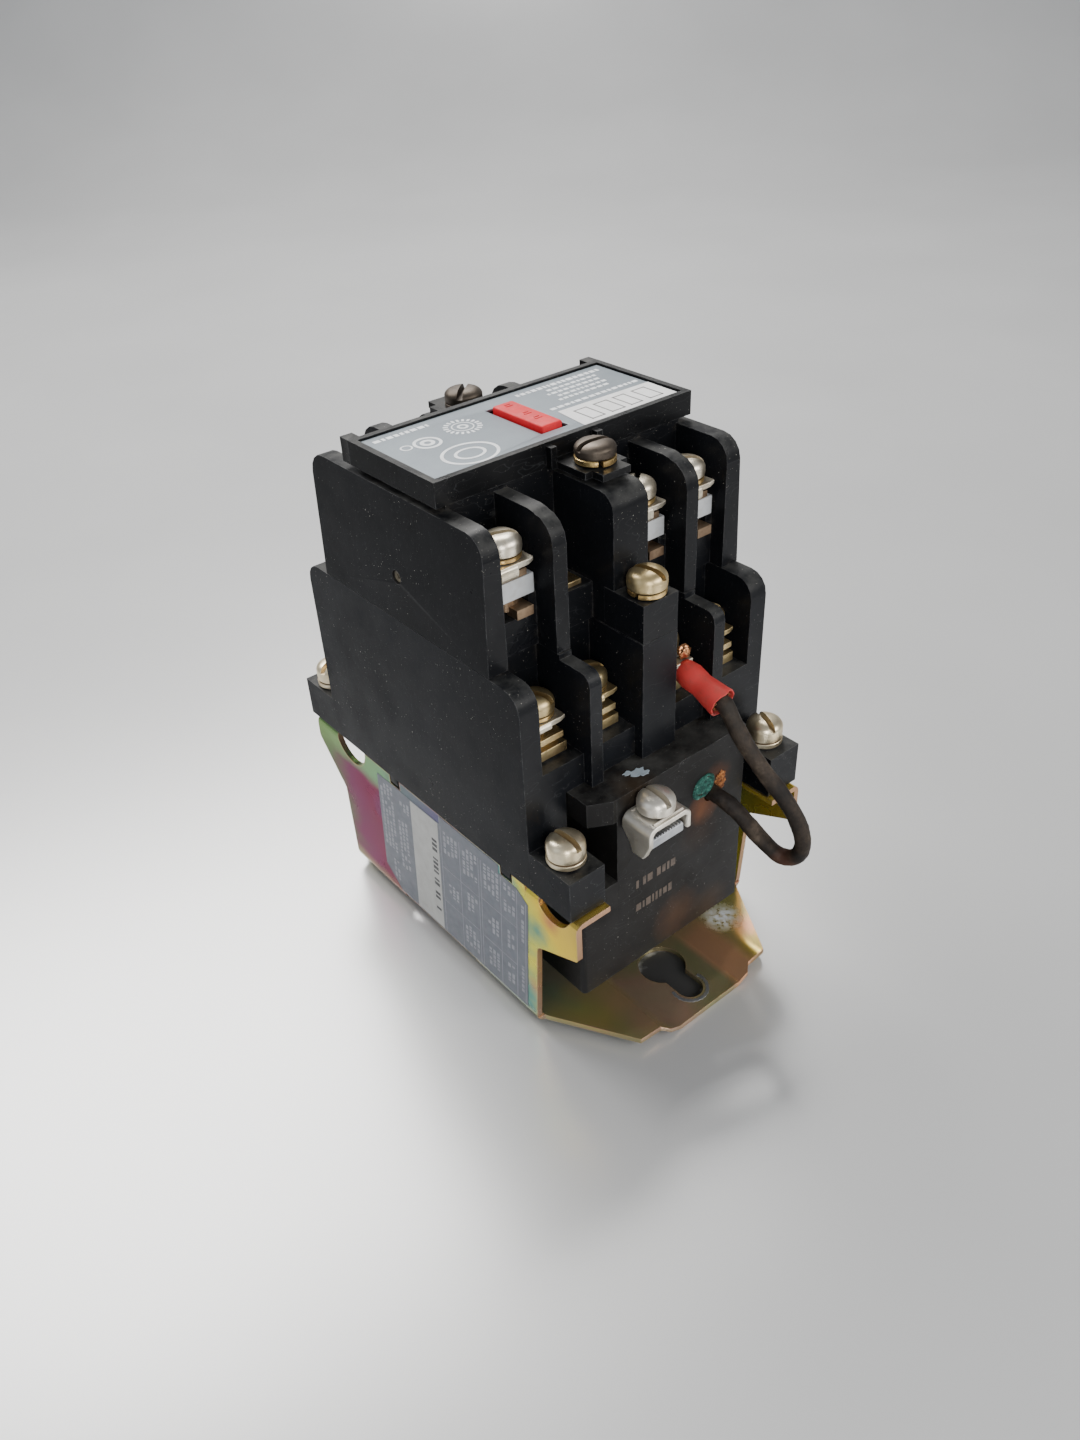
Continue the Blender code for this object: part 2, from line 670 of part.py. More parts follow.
def contact_carrier():
    """Stem on the armature, with one crossbar above each row of contact bridges."""
    sx, sy = STEM_HALF
    low = LOWER_STRIP_Z + STRIP_T + BRIDGE_GAP + 1.1 + CLEAR
    high = UPPER_STRIP_Z + STRIP_T + BRIDGE_GAP + 1.1 + CLEAR
    obj = box("stem", (-sx, sx), (-sy, sy), (ARMATURE_Z + ARMATURE_T + CLEAR, high + 1.5))
    join(obj, [
        box("bar_low", (-23.9, 23.9), (-3.5, 3.5), (low, low + 2.6)),
        box("bar_high", (-23.8, 23.8), (-3.52, 3.52), (high, high + 2.2)),
    ])
    return finish(obj, "contact_carrier", "moulding_edge", (0, 0, 70.0))


def red_indicator():
    """Bar in the face slot, with a chamfered top."""
    z0, z1 = 102.4, 109.3
    y0, y1 = BUTTON_Y - 7.0, BUTTON_Y + 6.8
    obj = box("button", (-2.25, 2.25), (y0, y1), (z0, z1))
    bm = bmesh.new()
    bm.from_mesh(obj.data)
    top = [e for e in bm.edges if all(v.co.z > (z1 - 0.1) * MM for v in e.verts)]
    bmesh.ops.bevel(bm, geom=top, offset=0.35 * MM, segments=2, affect="EDGES", profile=0.5)
    bm.to_mesh(obj.data)
    bm.free()
    return finish(obj, "red_indicator", "red", (0, BUTTON_Y, z1))


def bridge(name, x, strip_z):
    """Moving contact bar with two contact buttons under its ends."""
    z0 = strip_z + STRIP_T + BRIDGE_GAP
    reach = 11.0 if strip_z < 80 else 9.9
    obj = box("bridge", (x - 2.2, x + 2.2), (-reach, reach), (z0, z0 + 1.1))
    return finish(obj, name, "brass", (x, 0, z0))


# ---- terminals ----


def terminal_screw(name, x, y, plate_z, slot_deg, look):
    """Domed slotted screw with its lock washer and captive pressure plate."""
    z = plate_z
    face = [(-3.6, z), (3.6, z), (3.6, z + PRESSURE_T), (-3.6, z + PRESSURE_T)]
    plate = prism("plate", rounded(face, {2: 0.3, 3: 0.3}, 1), "y", -3.7, 3.7)
    base = z + PRESSURE_T
    shape = [(0, z - 4.4), (SHANK_R, z - 4.4), (SHANK_R, z + 0.8), (3.3, z + 0.8), (3.3, base + 0.9),
             (HEAD_R, base + 1.1), (HEAD_R, base + 2.6), (2.5, base + 4.0), (0, base + 4.4)]
    obj = join(plate, [lathe("screw", shape, (0, 0))])
    slot = moved(box("slot", (-4, 4), (-0.6, 0.6), (base + 2.9, base + 6)), (0, 0, 0), math.radians(slot_deg))
    cut(obj, [slot])
    moved(obj, (x, y, 0))
    return finish(obj, name, look, (x, y, z))


def lower_strip(name, x, sy):
    """Fixed contact strip with the threaded step block under its terminal."""
    y = LOWER_TERMINAL_Y
    z = LOWER_STRIP_Z
    obj = box("strip", (x - STRIP_HALF, x + STRIP_HALF), (sy * STRIP_INNER_Y, sy * 30.0), (z, z + STRIP_T))
    join(obj, [
        box("boss", (x - 2.4, x + 2.4), (sy * (y - 2.6), sy * (y + 2.4)), (SHELF_Z + 1.0, z + 0.5)),
        box("step", (x - 3.2, x + 3.2), (sy * (y - 2.7), sy * (y + 4.2)), (SHELF_Z + 0.4, SHELF_Z + 2.3)),
    ])
    cut(obj, [cylinder("bore", (x, sy * y), 1.9, 50, 80)])
    return finish(obj, name, "brass")


def upper_strip(name, x, sy):
    """Fixed contact strip with a threaded boss through the cartridge and a nut bar below it."""
    y = UPPER_TERMINAL_Y
    z = UPPER_STRIP_Z
    obj = box("strip", (x - STRIP_HALF, x + STRIP_HALF), (sy * STRIP_INNER_Y, sy * 22.4), (z, z + STRIP_T))
    join(obj, [
        cylinder("boss", (x, sy * y), 2.2, 87.0, z + 0.5, 16),
        box("nut", (x - 0.8, x + 2.6), (sy * (y - 2.4), sy * (y + 4.2)), (86.3, 88.0)),
    ])
    cut(obj, [cylinder("bore", (x, sy * y), 1.7, 80, 100, 16)])
    return finish(obj, name, "brass")


def cartridge(name, x):
    """White insulating block that carries both fixed strips of one upper pole."""
    obj = box("cartridge", (x - 4.1, x + 4.1), (-22.3, 22.3), (UPPER_SHELF_Z + 0.2, UPPER_STRIP_Z - 0.2))
    cut(obj, [cylinder("hole", (x, sy * UPPER_TERMINAL_Y), 2.4, 80, 100, 16) for sy in (-1, 1)])
    return finish(obj, name, "white")


def housing_screw(name, x, y, seat, length, rise, slot_deg, look):
    """Domed slotted screw on a lock washer."""
    top = seat + rise
    shape = [(0, seat - length), (SHANK_R, seat - length), (SHANK_R, seat + 0.1), (3.6, seat + 0.1),
             (3.6, seat + 1.1), (HEAD_R, seat + 1.3), (HEAD_R, top - 2.0), (2.5, top - 0.6), (0, top)]
    obj = lathe("screw", shape, (0, 0))
    slot = moved(box("slot", (-4, 4), (-0.6, 0.6), (top - 1.7, top + 2)), (0, 0, 0), math.radians(slot_deg))
    cut(obj, [slot])
    moved(obj, (x, y, 0))
    return finish(obj, name, look)


# ---- jumper lead ----


def jumper_lug():
    """Ring tongue with its insulating sleeve."""
    x, y = 8.7, -LOWER_TERMINAL_Y
    z = LOWER_STRIP_Z + STRIP_T + 0.25
    obj = cylinder("ring", (x, y), 3.2, z, z + 0.9)
    start, end = Vector(SLEEVE_START), Vector(SLEEVE_END)
    join(obj, [
        box("tongue", (x - 1.6, x + 1.6), (y - 6.4, y - 1.0), (z + 0.05, z + 0.85)),
        tube("sleeve", [start, end], SLEEVE_R, 16),
    ])
    ahead = (end - start).normalized()
    cut(obj, [
        cylinder("hole", (x, y), 1.9, 60, 75),
        tube("socket", [end - ahead * 4.0, end + ahead * 3.0], WIRE_R + CLEAR, 16),
    ])
    return finish(obj, "jumper_lug", "sleeve")


def jumper_wire():
    start, end = Vector(SLEEVE_START), Vector(SLEEVE_END)
    ahead = (end - start).normalized()
    path = [end - ahead * 3.2, end - ahead * 1.2, end + ahead * 0.6, *WIRE_PATH]
    return finish(tube("wire", smooth_path(path, 4), WIRE_R, 12), "jumper_wire", "wire")


# ---- assembly ----


def build():
    clear_scene()
    base_bracket()
    lower_housing()
    upper_housing()
    top_cover()
    nameplate()
    coil_body()
    magnet_frame()
    return_spring()
    coil_terminal()
    armature()
    contact_carrier()
    red_indicator()
    angles = (-64, -18, 70, -20, 40, -35, 65, -15)
    for i, x in enumerate(LOWER_POLES):
        bridge(f"lower_bridge_{i + 1}", x, LOWER_STRIP_Z)
        for side, sy in (("near", -1), ("far", 1)):
            lower_strip(f"lower_strip_{side}_{i + 1}", x, sy)
            terminal_screw(f"lower_terminal_{side}_{i + 1}", x, sy * LOWER_TERMINAL_Y, LOWER_PLATE_Z,
                           angles[i if sy < 0 else 7 - i], "brass")
    for i, x in enumerate(UPPER_POLES):
        bridge(f"upper_bridge_{i + 1}", x, UPPER_STRIP_Z)
        cartridge(f"upper_cartridge_{i + 1}", x)
        for side, sy in (("near", -1), ("far", 1)):
            upper_strip(f"upper_strip_{side}_{i + 1}", x, sy)
            terminal_screw(f"upper_terminal_{side}_{i + 1}", x, sy * UPPER_TERMINAL_Y, UPPER_PLATE_Z,
                           angles[(i + 3) % 8 if sy < 0 else (i + 5) % 8], "nickel")
    for side, sy in (("near", -1), ("far", 1)):
        for hand, sx in (("left", -1), ("right", 1)):
            name = f"ear_screw_{side}_{hand}"
            x, y = sx * EAR_SCREW[0], sy * EAR_SCREW[1]
            housing_screw(name, x, y, EAR_Z, 13.0, 5.3, SLOT_TURN[name], "brass")
        name = f"deck_screw_{side}"
        housing_screw(name, 0, sy * POST_SCREW_Y, FOOT_TOP, 16.0, 4.7, SLOT_TURN[name], "brass")
        name = f"cover_screw_{side}"
        housing_screw(name, 0, tower_screw_y(sy), COVER_Z0 + TAB_T, 11.0, 3.9, SLOT_TURN[name], "nickel")
    jumper_lug()
    jumper_wire()


build()
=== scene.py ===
import math
import random

import bmesh
import bpy
from mathutils import Matrix, Vector, noise


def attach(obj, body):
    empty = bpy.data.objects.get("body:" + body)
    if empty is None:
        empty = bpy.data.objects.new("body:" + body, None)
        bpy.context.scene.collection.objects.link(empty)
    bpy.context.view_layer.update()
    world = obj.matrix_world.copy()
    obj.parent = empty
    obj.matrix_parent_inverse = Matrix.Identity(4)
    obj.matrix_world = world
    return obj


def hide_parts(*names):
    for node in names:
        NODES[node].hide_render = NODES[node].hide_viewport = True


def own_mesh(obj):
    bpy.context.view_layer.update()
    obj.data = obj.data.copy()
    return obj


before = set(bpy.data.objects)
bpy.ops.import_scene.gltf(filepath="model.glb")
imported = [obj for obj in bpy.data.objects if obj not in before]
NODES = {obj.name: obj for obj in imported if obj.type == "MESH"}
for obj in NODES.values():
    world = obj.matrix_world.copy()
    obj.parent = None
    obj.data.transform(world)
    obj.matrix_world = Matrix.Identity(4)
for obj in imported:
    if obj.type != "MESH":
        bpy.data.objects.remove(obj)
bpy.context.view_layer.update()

MM = 0.001
ROOT = "frame"
ROUND = 56


# ---------------------------------------------------------------- node graphs

class Graph:
    """Short way to write a node material."""

    def __init__(self, name):
        self.mat = bpy.data.materials.new(name)
        self.mat.use_nodes = True
        self.tree = self.mat.node_tree
        self.bsdf = self.tree.nodes["Principled BSDF"]

    def node(self, kind, **values):
        made = self.tree.nodes.new("ShaderNode" + kind)
        for key, value in values.items():
            self.put(made, key, value)
        return made

    def put(self, made, key, value):
        """Sets a property, an input by name, or an input by number when the key is i0, i1 and so on."""
        if hasattr(made, key) and not isinstance(value, bpy.types.NodeSocket):
            setattr(made, key, value)
            return
        numbered = key[0] == "i" and key[1:].isdigit()
        socket = made.inputs[int(key[1:]) if numbered else key.replace("_", " ")]
        if isinstance(value, bpy.types.NodeSocket):
            self.tree.links.new(value, socket)
        else:
            socket.default_value = value

    def coords(self, scale=(1.0, 1.0, 1.0)):
        """Row-frame position, stretched."""
        return self.node("Mapping", Vector=self.node("TexCoord").outputs["Object"], Scale=scale).outputs[0]

    def noise(self, scale, detail=3.0, rough=0.5, stretch=(1.0, 1.0, 1.0), offset=0.0):
        tex = self.node("TexNoise", Vector=self.coords(stretch), Scale=scale, Detail=detail, Roughness=rough)
        tex.noise_dimensions = "4D" if offset else "3D"
        if offset:
            tex.inputs["W"].default_value = offset
        return tex.outputs["Fac"]

    def ramp(self, value, stops):
        made = self.node("ValToRGB", i0=value)
        while len(made.color_ramp.elements) < len(stops):
            made.color_ramp.elements.new(0.5)
        for element, (place, colour) in zip(made.color_ramp.elements, stops):
            element.position = place
            element.color = (*colour, 1.0)
        return made.outputs[0]

    def level(self, value, low, high, out_low=0.0, out_high=1.0):
        return self.node("MapRange", Value=value, i1=low, i2=high, i3=out_low, i4=out_high).outputs[0]

    def math(self, operation, a, b=0.5):
        made = self.node("Math", operation=operation)
        self.put(made, "i0", a)
        self.put(made, "i1", b)
        return made.outputs[0]

    def times(self, a, b):
        return self.math("MULTIPLY", a, b)

    def plus(self, a, b):
        return self.math("ADD", a, b)

    def minus(self, a, b):
        return self.math("SUBTRACT", a, b)

    def mix(self, factor, a, b, blend="MIX"):
        made = self.node("Mix", data_type="RGBA", blend_type=blend)
        self.put(made, "i0", factor)
        self.put(made, "i6", a if isinstance(a, bpy.types.NodeSocket) else (*a, 1.0))
        self.put(made, "i7", b if isinstance(b, bpy.types.NodeSocket) else (*b, 1.0))
        return made.outputs[2]

    def axis(self, name, source="position"):
        """X, Y or Z of the row-frame position, or of the surface normal."""
        if source == "normal":
            vector = self.node("NewGeometry").outputs["Normal"]
        else:
            vector = self.node("TexCoord").outputs["Object"]
        return self.node("SeparateXYZ", Vector=vector).outputs[name]

    def spot(self, centre, radius, soft=0.5):
        """1 inside a ball, falling to 0 at its radius; edges are torn by noise."""
        torn = self.node("VectorMath", operation="ADD", i0=self.node("TexCoord").outputs["Object"])
        wobble = self.node("TexNoise", Vector=self.coords(), Scale=450.0, Detail=3.0)
        small = self.node("VectorMath", operation="SCALE", i0=wobble.outputs["Color"])
        small.inputs["Scale"].default_value = radius * MM * 0.5
        self.tree.links.new(small.outputs[0], torn.inputs[1])
        shift = tuple(c * MM + radius * MM * 0.25 for c in centre)
        gap = self.node("VectorMath", operation="DISTANCE", i0=torn.outputs[0], i1=shift)
        return self.level(gap.outputs["Value"], radius * MM, radius * MM * (1.0 - soft))

    def edges(self, radius):
        """1 on rounded outer edges."""
        bevel = self.node("Bevel", samples=4, Radius=radius * MM)
        dot = self.node("VectorMath", operation="DOT_PRODUCT", i0=bevel.outputs[0],
                        i1=self.node("NewGeometry").outputs["Normal"])
        return self.level(dot.outputs["Value"], 0.995, 0.86)

    def crevice(self, distance):
        """1 in corners and slots."""
        made = self.node("AmbientOcclusion", samples=6, Distance=distance * MM)
        return self.level(made.outputs["AO"], 0.85, 0.25)

    def bump(self, height, strength, distance):
        return self.node("Bump", Strength=strength, Distance=distance * MM, Height=height).outputs[0]

    def finish(self, colour, rough, metallic=0.0, normal=None, **extra):
        for key, value in (("Base Color", colour), ("Roughness", rough), ("Metallic", metallic)):
            if isinstance(value, tuple):
                value = (*value, 1.0)
            self.put(self.bsdf, key, value)
        if normal is not None:
            self.put(self.bsdf, "Normal", normal)
        for key, value in extra.items():
            self.put(self.bsdf, key, value)
        return self.mat


# The first colour below paints the moulding's edges paler: partly wear, partly a painted highlight.
WORN_EDGE_AND_HIGHLIGHT = (0.15, 0.155, 0.16)
SCRATCH = (0.2, 0.21, 0.22)
FILM = (0.27, 0.27, 0.25)
CORNER_DIRT = (0.22, 0.19, 0.15)
SPECK = (0.62, 0.60, 0.54)
GRAIN = (0.55, 0.52, 0.46)
DUSTY_HEIGHT = (0.082, 0.098)


def moulding(name, base, rough, dust, seed):
    """Satin phenolic moulding with dust, fine scratches, and paler edges that are partly wear and partly a
    painted highlight.
    """
    g = Graph(name)
    cloud = g.noise(60.0, 4.0, 0.6, offset=seed)
    colour = g.mix(g.level(cloud, 0.3, 0.75), base, tuple(c * 1.7 + 0.0015 for c in base))
    # Paler edges: partly wear, partly a painted highlight standing in for the gloss on the edges.
    edge_wear_and_highlight = g.times(g.edges(0.22), g.level(g.noise(500.0, 5.0, 0.65, offset=seed + 1), 0.40, 0.66))
    colour = g.mix(g.times(edge_wear_and_highlight, 0.65), colour, WORN_EDGE_AND_HIGHLIGHT)
    scratch = g.noise(90.0, 2.0, 0.5, (1.0, 16.0, 3.0), seed + 2)
    lines = g.level(g.math("ABSOLUTE", g.minus(scratch, 0.5)), 0.004, 0.0)
    colour = g.mix(g.times(lines, 0.10), colour, SCRATCH)
    up = g.level(g.axis("Z", "normal"), 0.2, 0.95)
    patches = g.level(g.noise(170.0, 5.0, 0.65, offset=seed + 3), 0.38, 0.72)
    settled = g.times(g.times(up, patches), 0.24 * dust)
    colour = g.mix(settled, colour, FILM)
    corner = g.times(g.crevice(1.6), g.level(g.noise(420.0, 4.0, 0.7, offset=seed + 7), 0.5, 0.7))
    colour = g.mix(g.times(corner, 0.22 * dust), colour, CORNER_DIRT)
    specks = g.level(g.noise(2600.0, 2.0, 0.6, offset=seed + 4), 0.69, 0.73)
    thick = g.level(g.noise(75.0, 3.0, 0.6, offset=seed + 8), 0.42, 0.68, 0.1, 1.0)
    colour = g.mix(g.times(g.times(specks, thick), 0.9 * dust), colour, SPECK)
    facing = g.times(g.level(g.axis("Y", "normal"), -0.5, -0.9), g.level(g.axis("Z"), *DUSTY_HEIGHT))
    grains = g.level(g.noise(2900.0, 2.0, 0.6, offset=seed + 9), 0.70, 0.75)
    colour = g.mix(g.times(g.times(grains, facing), 0.6 * dust), colour, GRAIN)
    haze = g.level(g.noise(130.0, 4.0, 0.6, offset=seed + 5), 0.3, 0.8, rough - 0.08, rough + 0.16)
    haze = g.plus(haze, g.times(settled, 1.2))
    skin = g.noise(1900.0, 3.0, 0.6, offset=seed + 6)
    height = g.plus(g.times(skin, 0.5), g.times(lines, -0.4))
    return g, colour, haze, g.bump(height, 0.16, 0.05)


def black_moulding(name, base, rough, dust, seed):
    """Black housing plastic, duller on the walls that face -X."""
    g, colour, haze, normal = moulding(name, base, rough, dust, seed)
    gloss = g.level(g.axis("X", "normal"), -0.98, -0.7, 0.05, 0.17)
    return g.finish(colour, haze, 0.0, normal, Specular_IOR_Level=gloss)


def coil_resin():
    """Encapsulated coil: black resin with brown stains below the lead and the clamp."""
    g, colour, haze, normal = moulding("coil_resin", (0.0084, 0.0080, 0.0080), 0.40, 0.9, 7.0)
    for centre, radius, amount, tint in (
        ((7.4, -39.5, 41.2), 4.6, 0.85, (0.16, 0.055, 0.018)),
        ((10.2, -39.5, 46.5), 4.2, 0.60, (0.10, 0.034, 0.012)),
        ((6.6, -39.5, 36.0), 6.0, 0.30, (0.05, 0.024, 0.012)),
        ((0.5, -39.5, 17.5), 7.0, 0.55, (0.085, 0.042, 0.022)),
        ((10.0, -39.5, 14.5), 6.0, 0.45, (0.06, 0.034, 0.02)),
        ((-9.5, -38.5, 54.5), 5.0, 0.30, (0.10, 0.065, 0.035)),
    ):
        colour = g.mix(g.times(g.spot(centre, radius, 0.8), amount), colour, tint)
    return g.finish(colour, haze, 0.0, normal, Specular_IOR_Level=0.16)


def zinc():
    """Yellow-passivated sheet steel whose colour drifts along the part."""
    g = Graph("iridescent_zinc")
    wander = g.level(g.noise(38.0, 3.0, 0.55, (1.0, 1.0, 1.6), 3.0), 0.25, 0.75, -0.09, 0.09)
    along = g.plus(g.level(g.axis("Y"), -0.046, 0.044), wander)
    band = g.ramp(along, [
        (0.00, (0.80, 0.57, 0.12)), (0.09, (0.95, 0.70, 0.08)), (0.16, (0.72, 0.70, 0.12)),
        (0.215, (0.16, 0.40, 0.34)), (0.30, (0.15, 0.30, 0.36)), (0.46, (0.14, 0.17, 0.26)),
        (0.62, (0.15, 0.08, 0.19)), (0.72, (0.22, 0.04, 0.09)), (0.82, (0.20, 0.055, 0.12)),
        (0.90, (0.14, 0.20, 0.10)), (0.97, (0.16, 0.24, 0.09)),
    ])
    for centre, radius, amount, tint in (
        ((-29.0, -37.0, 33.5), 3.2, 0.90, (0.62, 0.25, 0.14)),
        ((-29.0, -33.5, 28.5), 3.8, 0.90, (0.13, 0.36, 0.30)),
        ((-29.0, -31.6, 12.0), 3.0, 0.50, (0.62, 0.24, 0.16)),
    ):
        band = g.mix(g.times(g.spot(centre, radius, 0.9), amount), band, tint)
    height = g.plus(g.axis("Z"), g.times(wander, 0.05))
    crown = g.times(g.level(height, 0.0290, 0.0345), g.level(along, 0.52, 0.72))
    band = g.mix(crown, band, g.ramp(along, [(0.60, (0.16, 0.36, 0.26)), (0.92, (0.26, 0.42, 0.16))]))
    low = g.level(g.plus(g.axis("Z"), g.times(wander, 0.02)), 0.0065, 0.002)
    foot = g.ramp(g.noise(34.0, 3.0, 0.5, offset=9.0), [
        (0.30, (0.40, 0.29, 0.19)), (0.44, (0.50, 0.40, 0.23)), (0.54, (0.42, 0.42, 0.22)),
        (0.66, (0.62, 0.42, 0.30)), (0.80, (0.66, 0.54, 0.36)),
    ])
    colour = g.mix(low, band, foot)
    rim = g.times(g.edges(0.6), 0.8)
    colour = g.mix(rim, colour, g.ramp(g.noise(130.0, 3.0, 0.5, offset=4.0), [
        (0.35, (0.66, 0.34, 0.29)), (0.50, (0.70, 0.56, 0.26)), (0.65, (0.60, 0.36, 0.31))]))
    ends = g.level(g.math("ABSOLUTE", g.axis("Y", "normal")), 0.45, 0.8)
    cut = g.times(ends, g.level(g.axis("Z"), 0.0015, 0.003))
    colour = g.mix(g.times(cut, 0.85), colour, (0.50, 0.29, 0.22))
    grime = g.times(g.level(g.noise(60.0, 4.0, 0.6, offset=12.0), 0.5, 0.8), 0.25)
    colour = g.mix(grime, colour, (0.16, 0.12, 0.085))
    # Painted shade: the zinc is darkened in corners and creases.
    colour = g.mix(g.times(g.crevice(2.5), 0.45), colour, (0.07, 0.05, 0.035))
    # Copper colour on the foot's right-hand ramp: partly the zinc's own tint, partly a painted reflection of
    # the bend.
    ramp_x = g.times(g.level(g.axis("X"), 0.0068, 0.0084), g.level(g.axis("X"), 0.0150, 0.0125))
    ramp_z = g.level(g.axis("Z"), 0.004, 0.0035)
    copper = g.times(g.times(ramp_x, ramp_z), g.level(g.axis("Y"), -0.030, -0.036))
    colour = g.mix(g.times(copper, 0.85), colour, (0.95, 0.52, 0.30))
    chalk = g.times(g.spot((17.5, -36.5, 3.0), 4.8, 0.7),
                   g.level(g.noise(900.0, 4.0, 0.7, offset=5.0), 0.35, 0.55))
    colour = g.mix(chalk, colour, (0.60, 0.63, 0.66))
    # Painted highlight: a bright orange-pink spot on the foot's right flank.
    painted_highlight = g.spot((20.0, -42.0, 2.5), 3.8, 0.8)
    colour = g.mix(g.times(painted_highlight, 0.9), colour, (0.92, 0.50, 0.32))
    rough = g.level(g.noise(60.0, 3.0, 0.6, offset=6.0), 0.3, 0.8, 0.20, 0.34)
    rough = g.minus(rough, g.times(low, 0.07))
    rough = g.plus(rough, g.times(chalk, 0.4))
    metal_share = g.minus(0.78, g.times(chalk, 0.75))
    fine = g.noise(1300.0, 3.0, 0.6, (1.0, 6.0, 1.0), 8.0)
    return g.finish(colour, rough, metal_share, g.bump(fine, 0.05, 0.02),
                    Specular_Tint=g.mix(0.5, colour, (0.9, 0.85, 0.85)), Specular_IOR_Level=0.35)


def metal(name, bright, dull, rough=0.3, rust=0.3, seed=1.0, tarnish=(0.10, 0.055, 0.025), share=0.95,
          grit=0.05):
    """Plated screw metal, dull in patches, brown in slots and corners."""
    g = Graph(name)
    colour = g.mix(g.level(g.noise(240.0, 4.0, 0.6, offset=seed), 0.35, 0.7), bright, dull)
    spots = g.times(g.level(g.noise(700.0, 4.0, 0.65, offset=seed + 1), 0.58, 0.70), rust)
    colour = g.mix(spots, colour, tarnish)
    corner_darkening = g.times(g.crevice(0.9), 0.8)
    colour = g.mix(corner_darkening, colour, tuple(c * 0.45 for c in tarnish))
    shine = g.level(g.noise(300.0, 3.0, 0.6, offset=seed + 2), 0.3, 0.75, rough - 0.03, rough + 0.12)
    shine = g.plus(shine, g.times(corner_darkening, 0.3))
    turned = g.noise(3200.0, 2.0, 0.6, (1.0, 1.0, 4.0), seed + 3)
    solid = g.minus(share, g.times(g.math("MAXIMUM", corner_darkening, spots), 0.5 * share))
    return g.finish(colour, shine, solid, g.bump(turned, grit, 0.03))


def foil():
    """Blue-grey printed face plate."""
    g = Graph("face_foil")
    base = g.mix(g.level(g.noise(90.0, 4.0, 0.6), 0.3, 0.7), (0.155, 0.185, 0.212), (0.20, 0.235, 0.262))
    specks = g.level(g.noise(2400.0, 3.0, 0.6, offset=2.0), 0.66, 0.72)
    base = g.mix(g.times(specks, 0.45), base, (0.10, 0.105, 0.11))
    grain = g.noise(500.0, 2.0, 0.5, (1.0, 40.0, 1.0), 3.0)
    return g.finish(base, g.level(grain, 0.3, 0.7, 0.3, 0.42), 0.25, g.bump(grain, 0.05, 0.02))


def paint(name, colour, rough, soil=(0.2, 0.18, 0.15), amount=0.35, seed=1.0, corner_darkening=0.6, **extra):
    """Coloured plastic, ink or paint with soiling, and corners darkened partly by dirt and partly by painted
    shade.
    """
    g = Graph(name)
    cloud = g.level(g.noise(260.0, 4.0, 0.6, offset=seed), 0.3, 0.75)
    tint = g.mix(cloud, colour, tuple(c * 0.82 for c in colour))
    patch = g.times(g.level(g.noise(520.0, 5.0, 0.65, offset=seed + 1), 0.48, 0.68), amount)
    tint = g.mix(patch, tint, soil)
    # Darker corners: partly dirt, partly painted shade.
    tint = g.mix(g.times(g.crevice(1.0), corner_darkening), tint, tuple(c * 0.4 for c in soil))
    shine = g.level(g.noise(700.0, 3.0, 0.6, offset=seed + 2), 0.3, 0.7, rough - 0.06, rough + 0.12)
    skin = g.noise(1700.0, 3.0, 0.6, offset=seed + 3)
    return g.finish(tint, shine, 0.0, g.bump(skin, 0.15, 0.04), **extra)


def insulation():
    """Old braided lead: dark brown, dusty, with reddish rubbed patches."""
    g = Graph("lead_insulation")
    tint = g.ramp(g.noise(190.0, 5.0, 0.65), [
        (0.32, (0.007, 0.005, 0.004)), (0.46, (0.016, 0.011, 0.008)), (0.58, (0.036, 0.025, 0.017)),
        (0.74, (0.105, 0.078, 0.054))])
    dusty = g.level(g.axis("Z"), 0.052, 0.064)
    tint = g.mix(g.times(dusty, 0.15), tint, (0.060, 0.049, 0.036))
    red = g.times(g.spot((15.6, -53.4, 32.0), 3.4, 0.8), 0.5)
    tint = g.mix(red, tint, (0.14, 0.045, 0.025))
    weave = g.node("TexVoronoi", Vector=g.coords(), Scale=1700.0).outputs["Distance"]
    height = g.plus(g.times(weave, 0.5), g.noise(600.0, 4.0, 0.7, offset=3.0))
    return g.finish(tint, 0.62, 0.0, g.bump(height, 0.5, 0.12), Specular_IOR_Level=0.3)


def corrosion():
    """Green copper salts with a chalky rim that turn orange at one end."""
    g = Graph("copper_salts")
    green = g.ramp(g.noise(800.0, 5.0, 0.7), [
        (0.38, (0.006, 0.030, 0.026)), (0.50, (0.012, 0.080, 0.062)), (0.60, (0.04, 0.17, 0.13)),
        (0.70, (0.34, 0.46, 0.42))])
    orange = g.ramp(g.noise(1100.0, 4.0, 0.7, offset=2.0), [
        (0.36, (0.05, 0.018, 0.008)), (0.50, (0.26, 0.085, 0.022)), (0.66, (0.62, 0.26, 0.08))])
    side = g.level(g.plus(g.axis("X"), g.times(g.noise(300.0), 0.0015)), 0.0098, 0.0110)
    colour = g.mix(side, green, orange)
    return g.finish(colour, 0.85, 0.0, g.bump(g.noise(2200.0, 5.0, 0.7, offset=4.0), 0.7, 0.15))


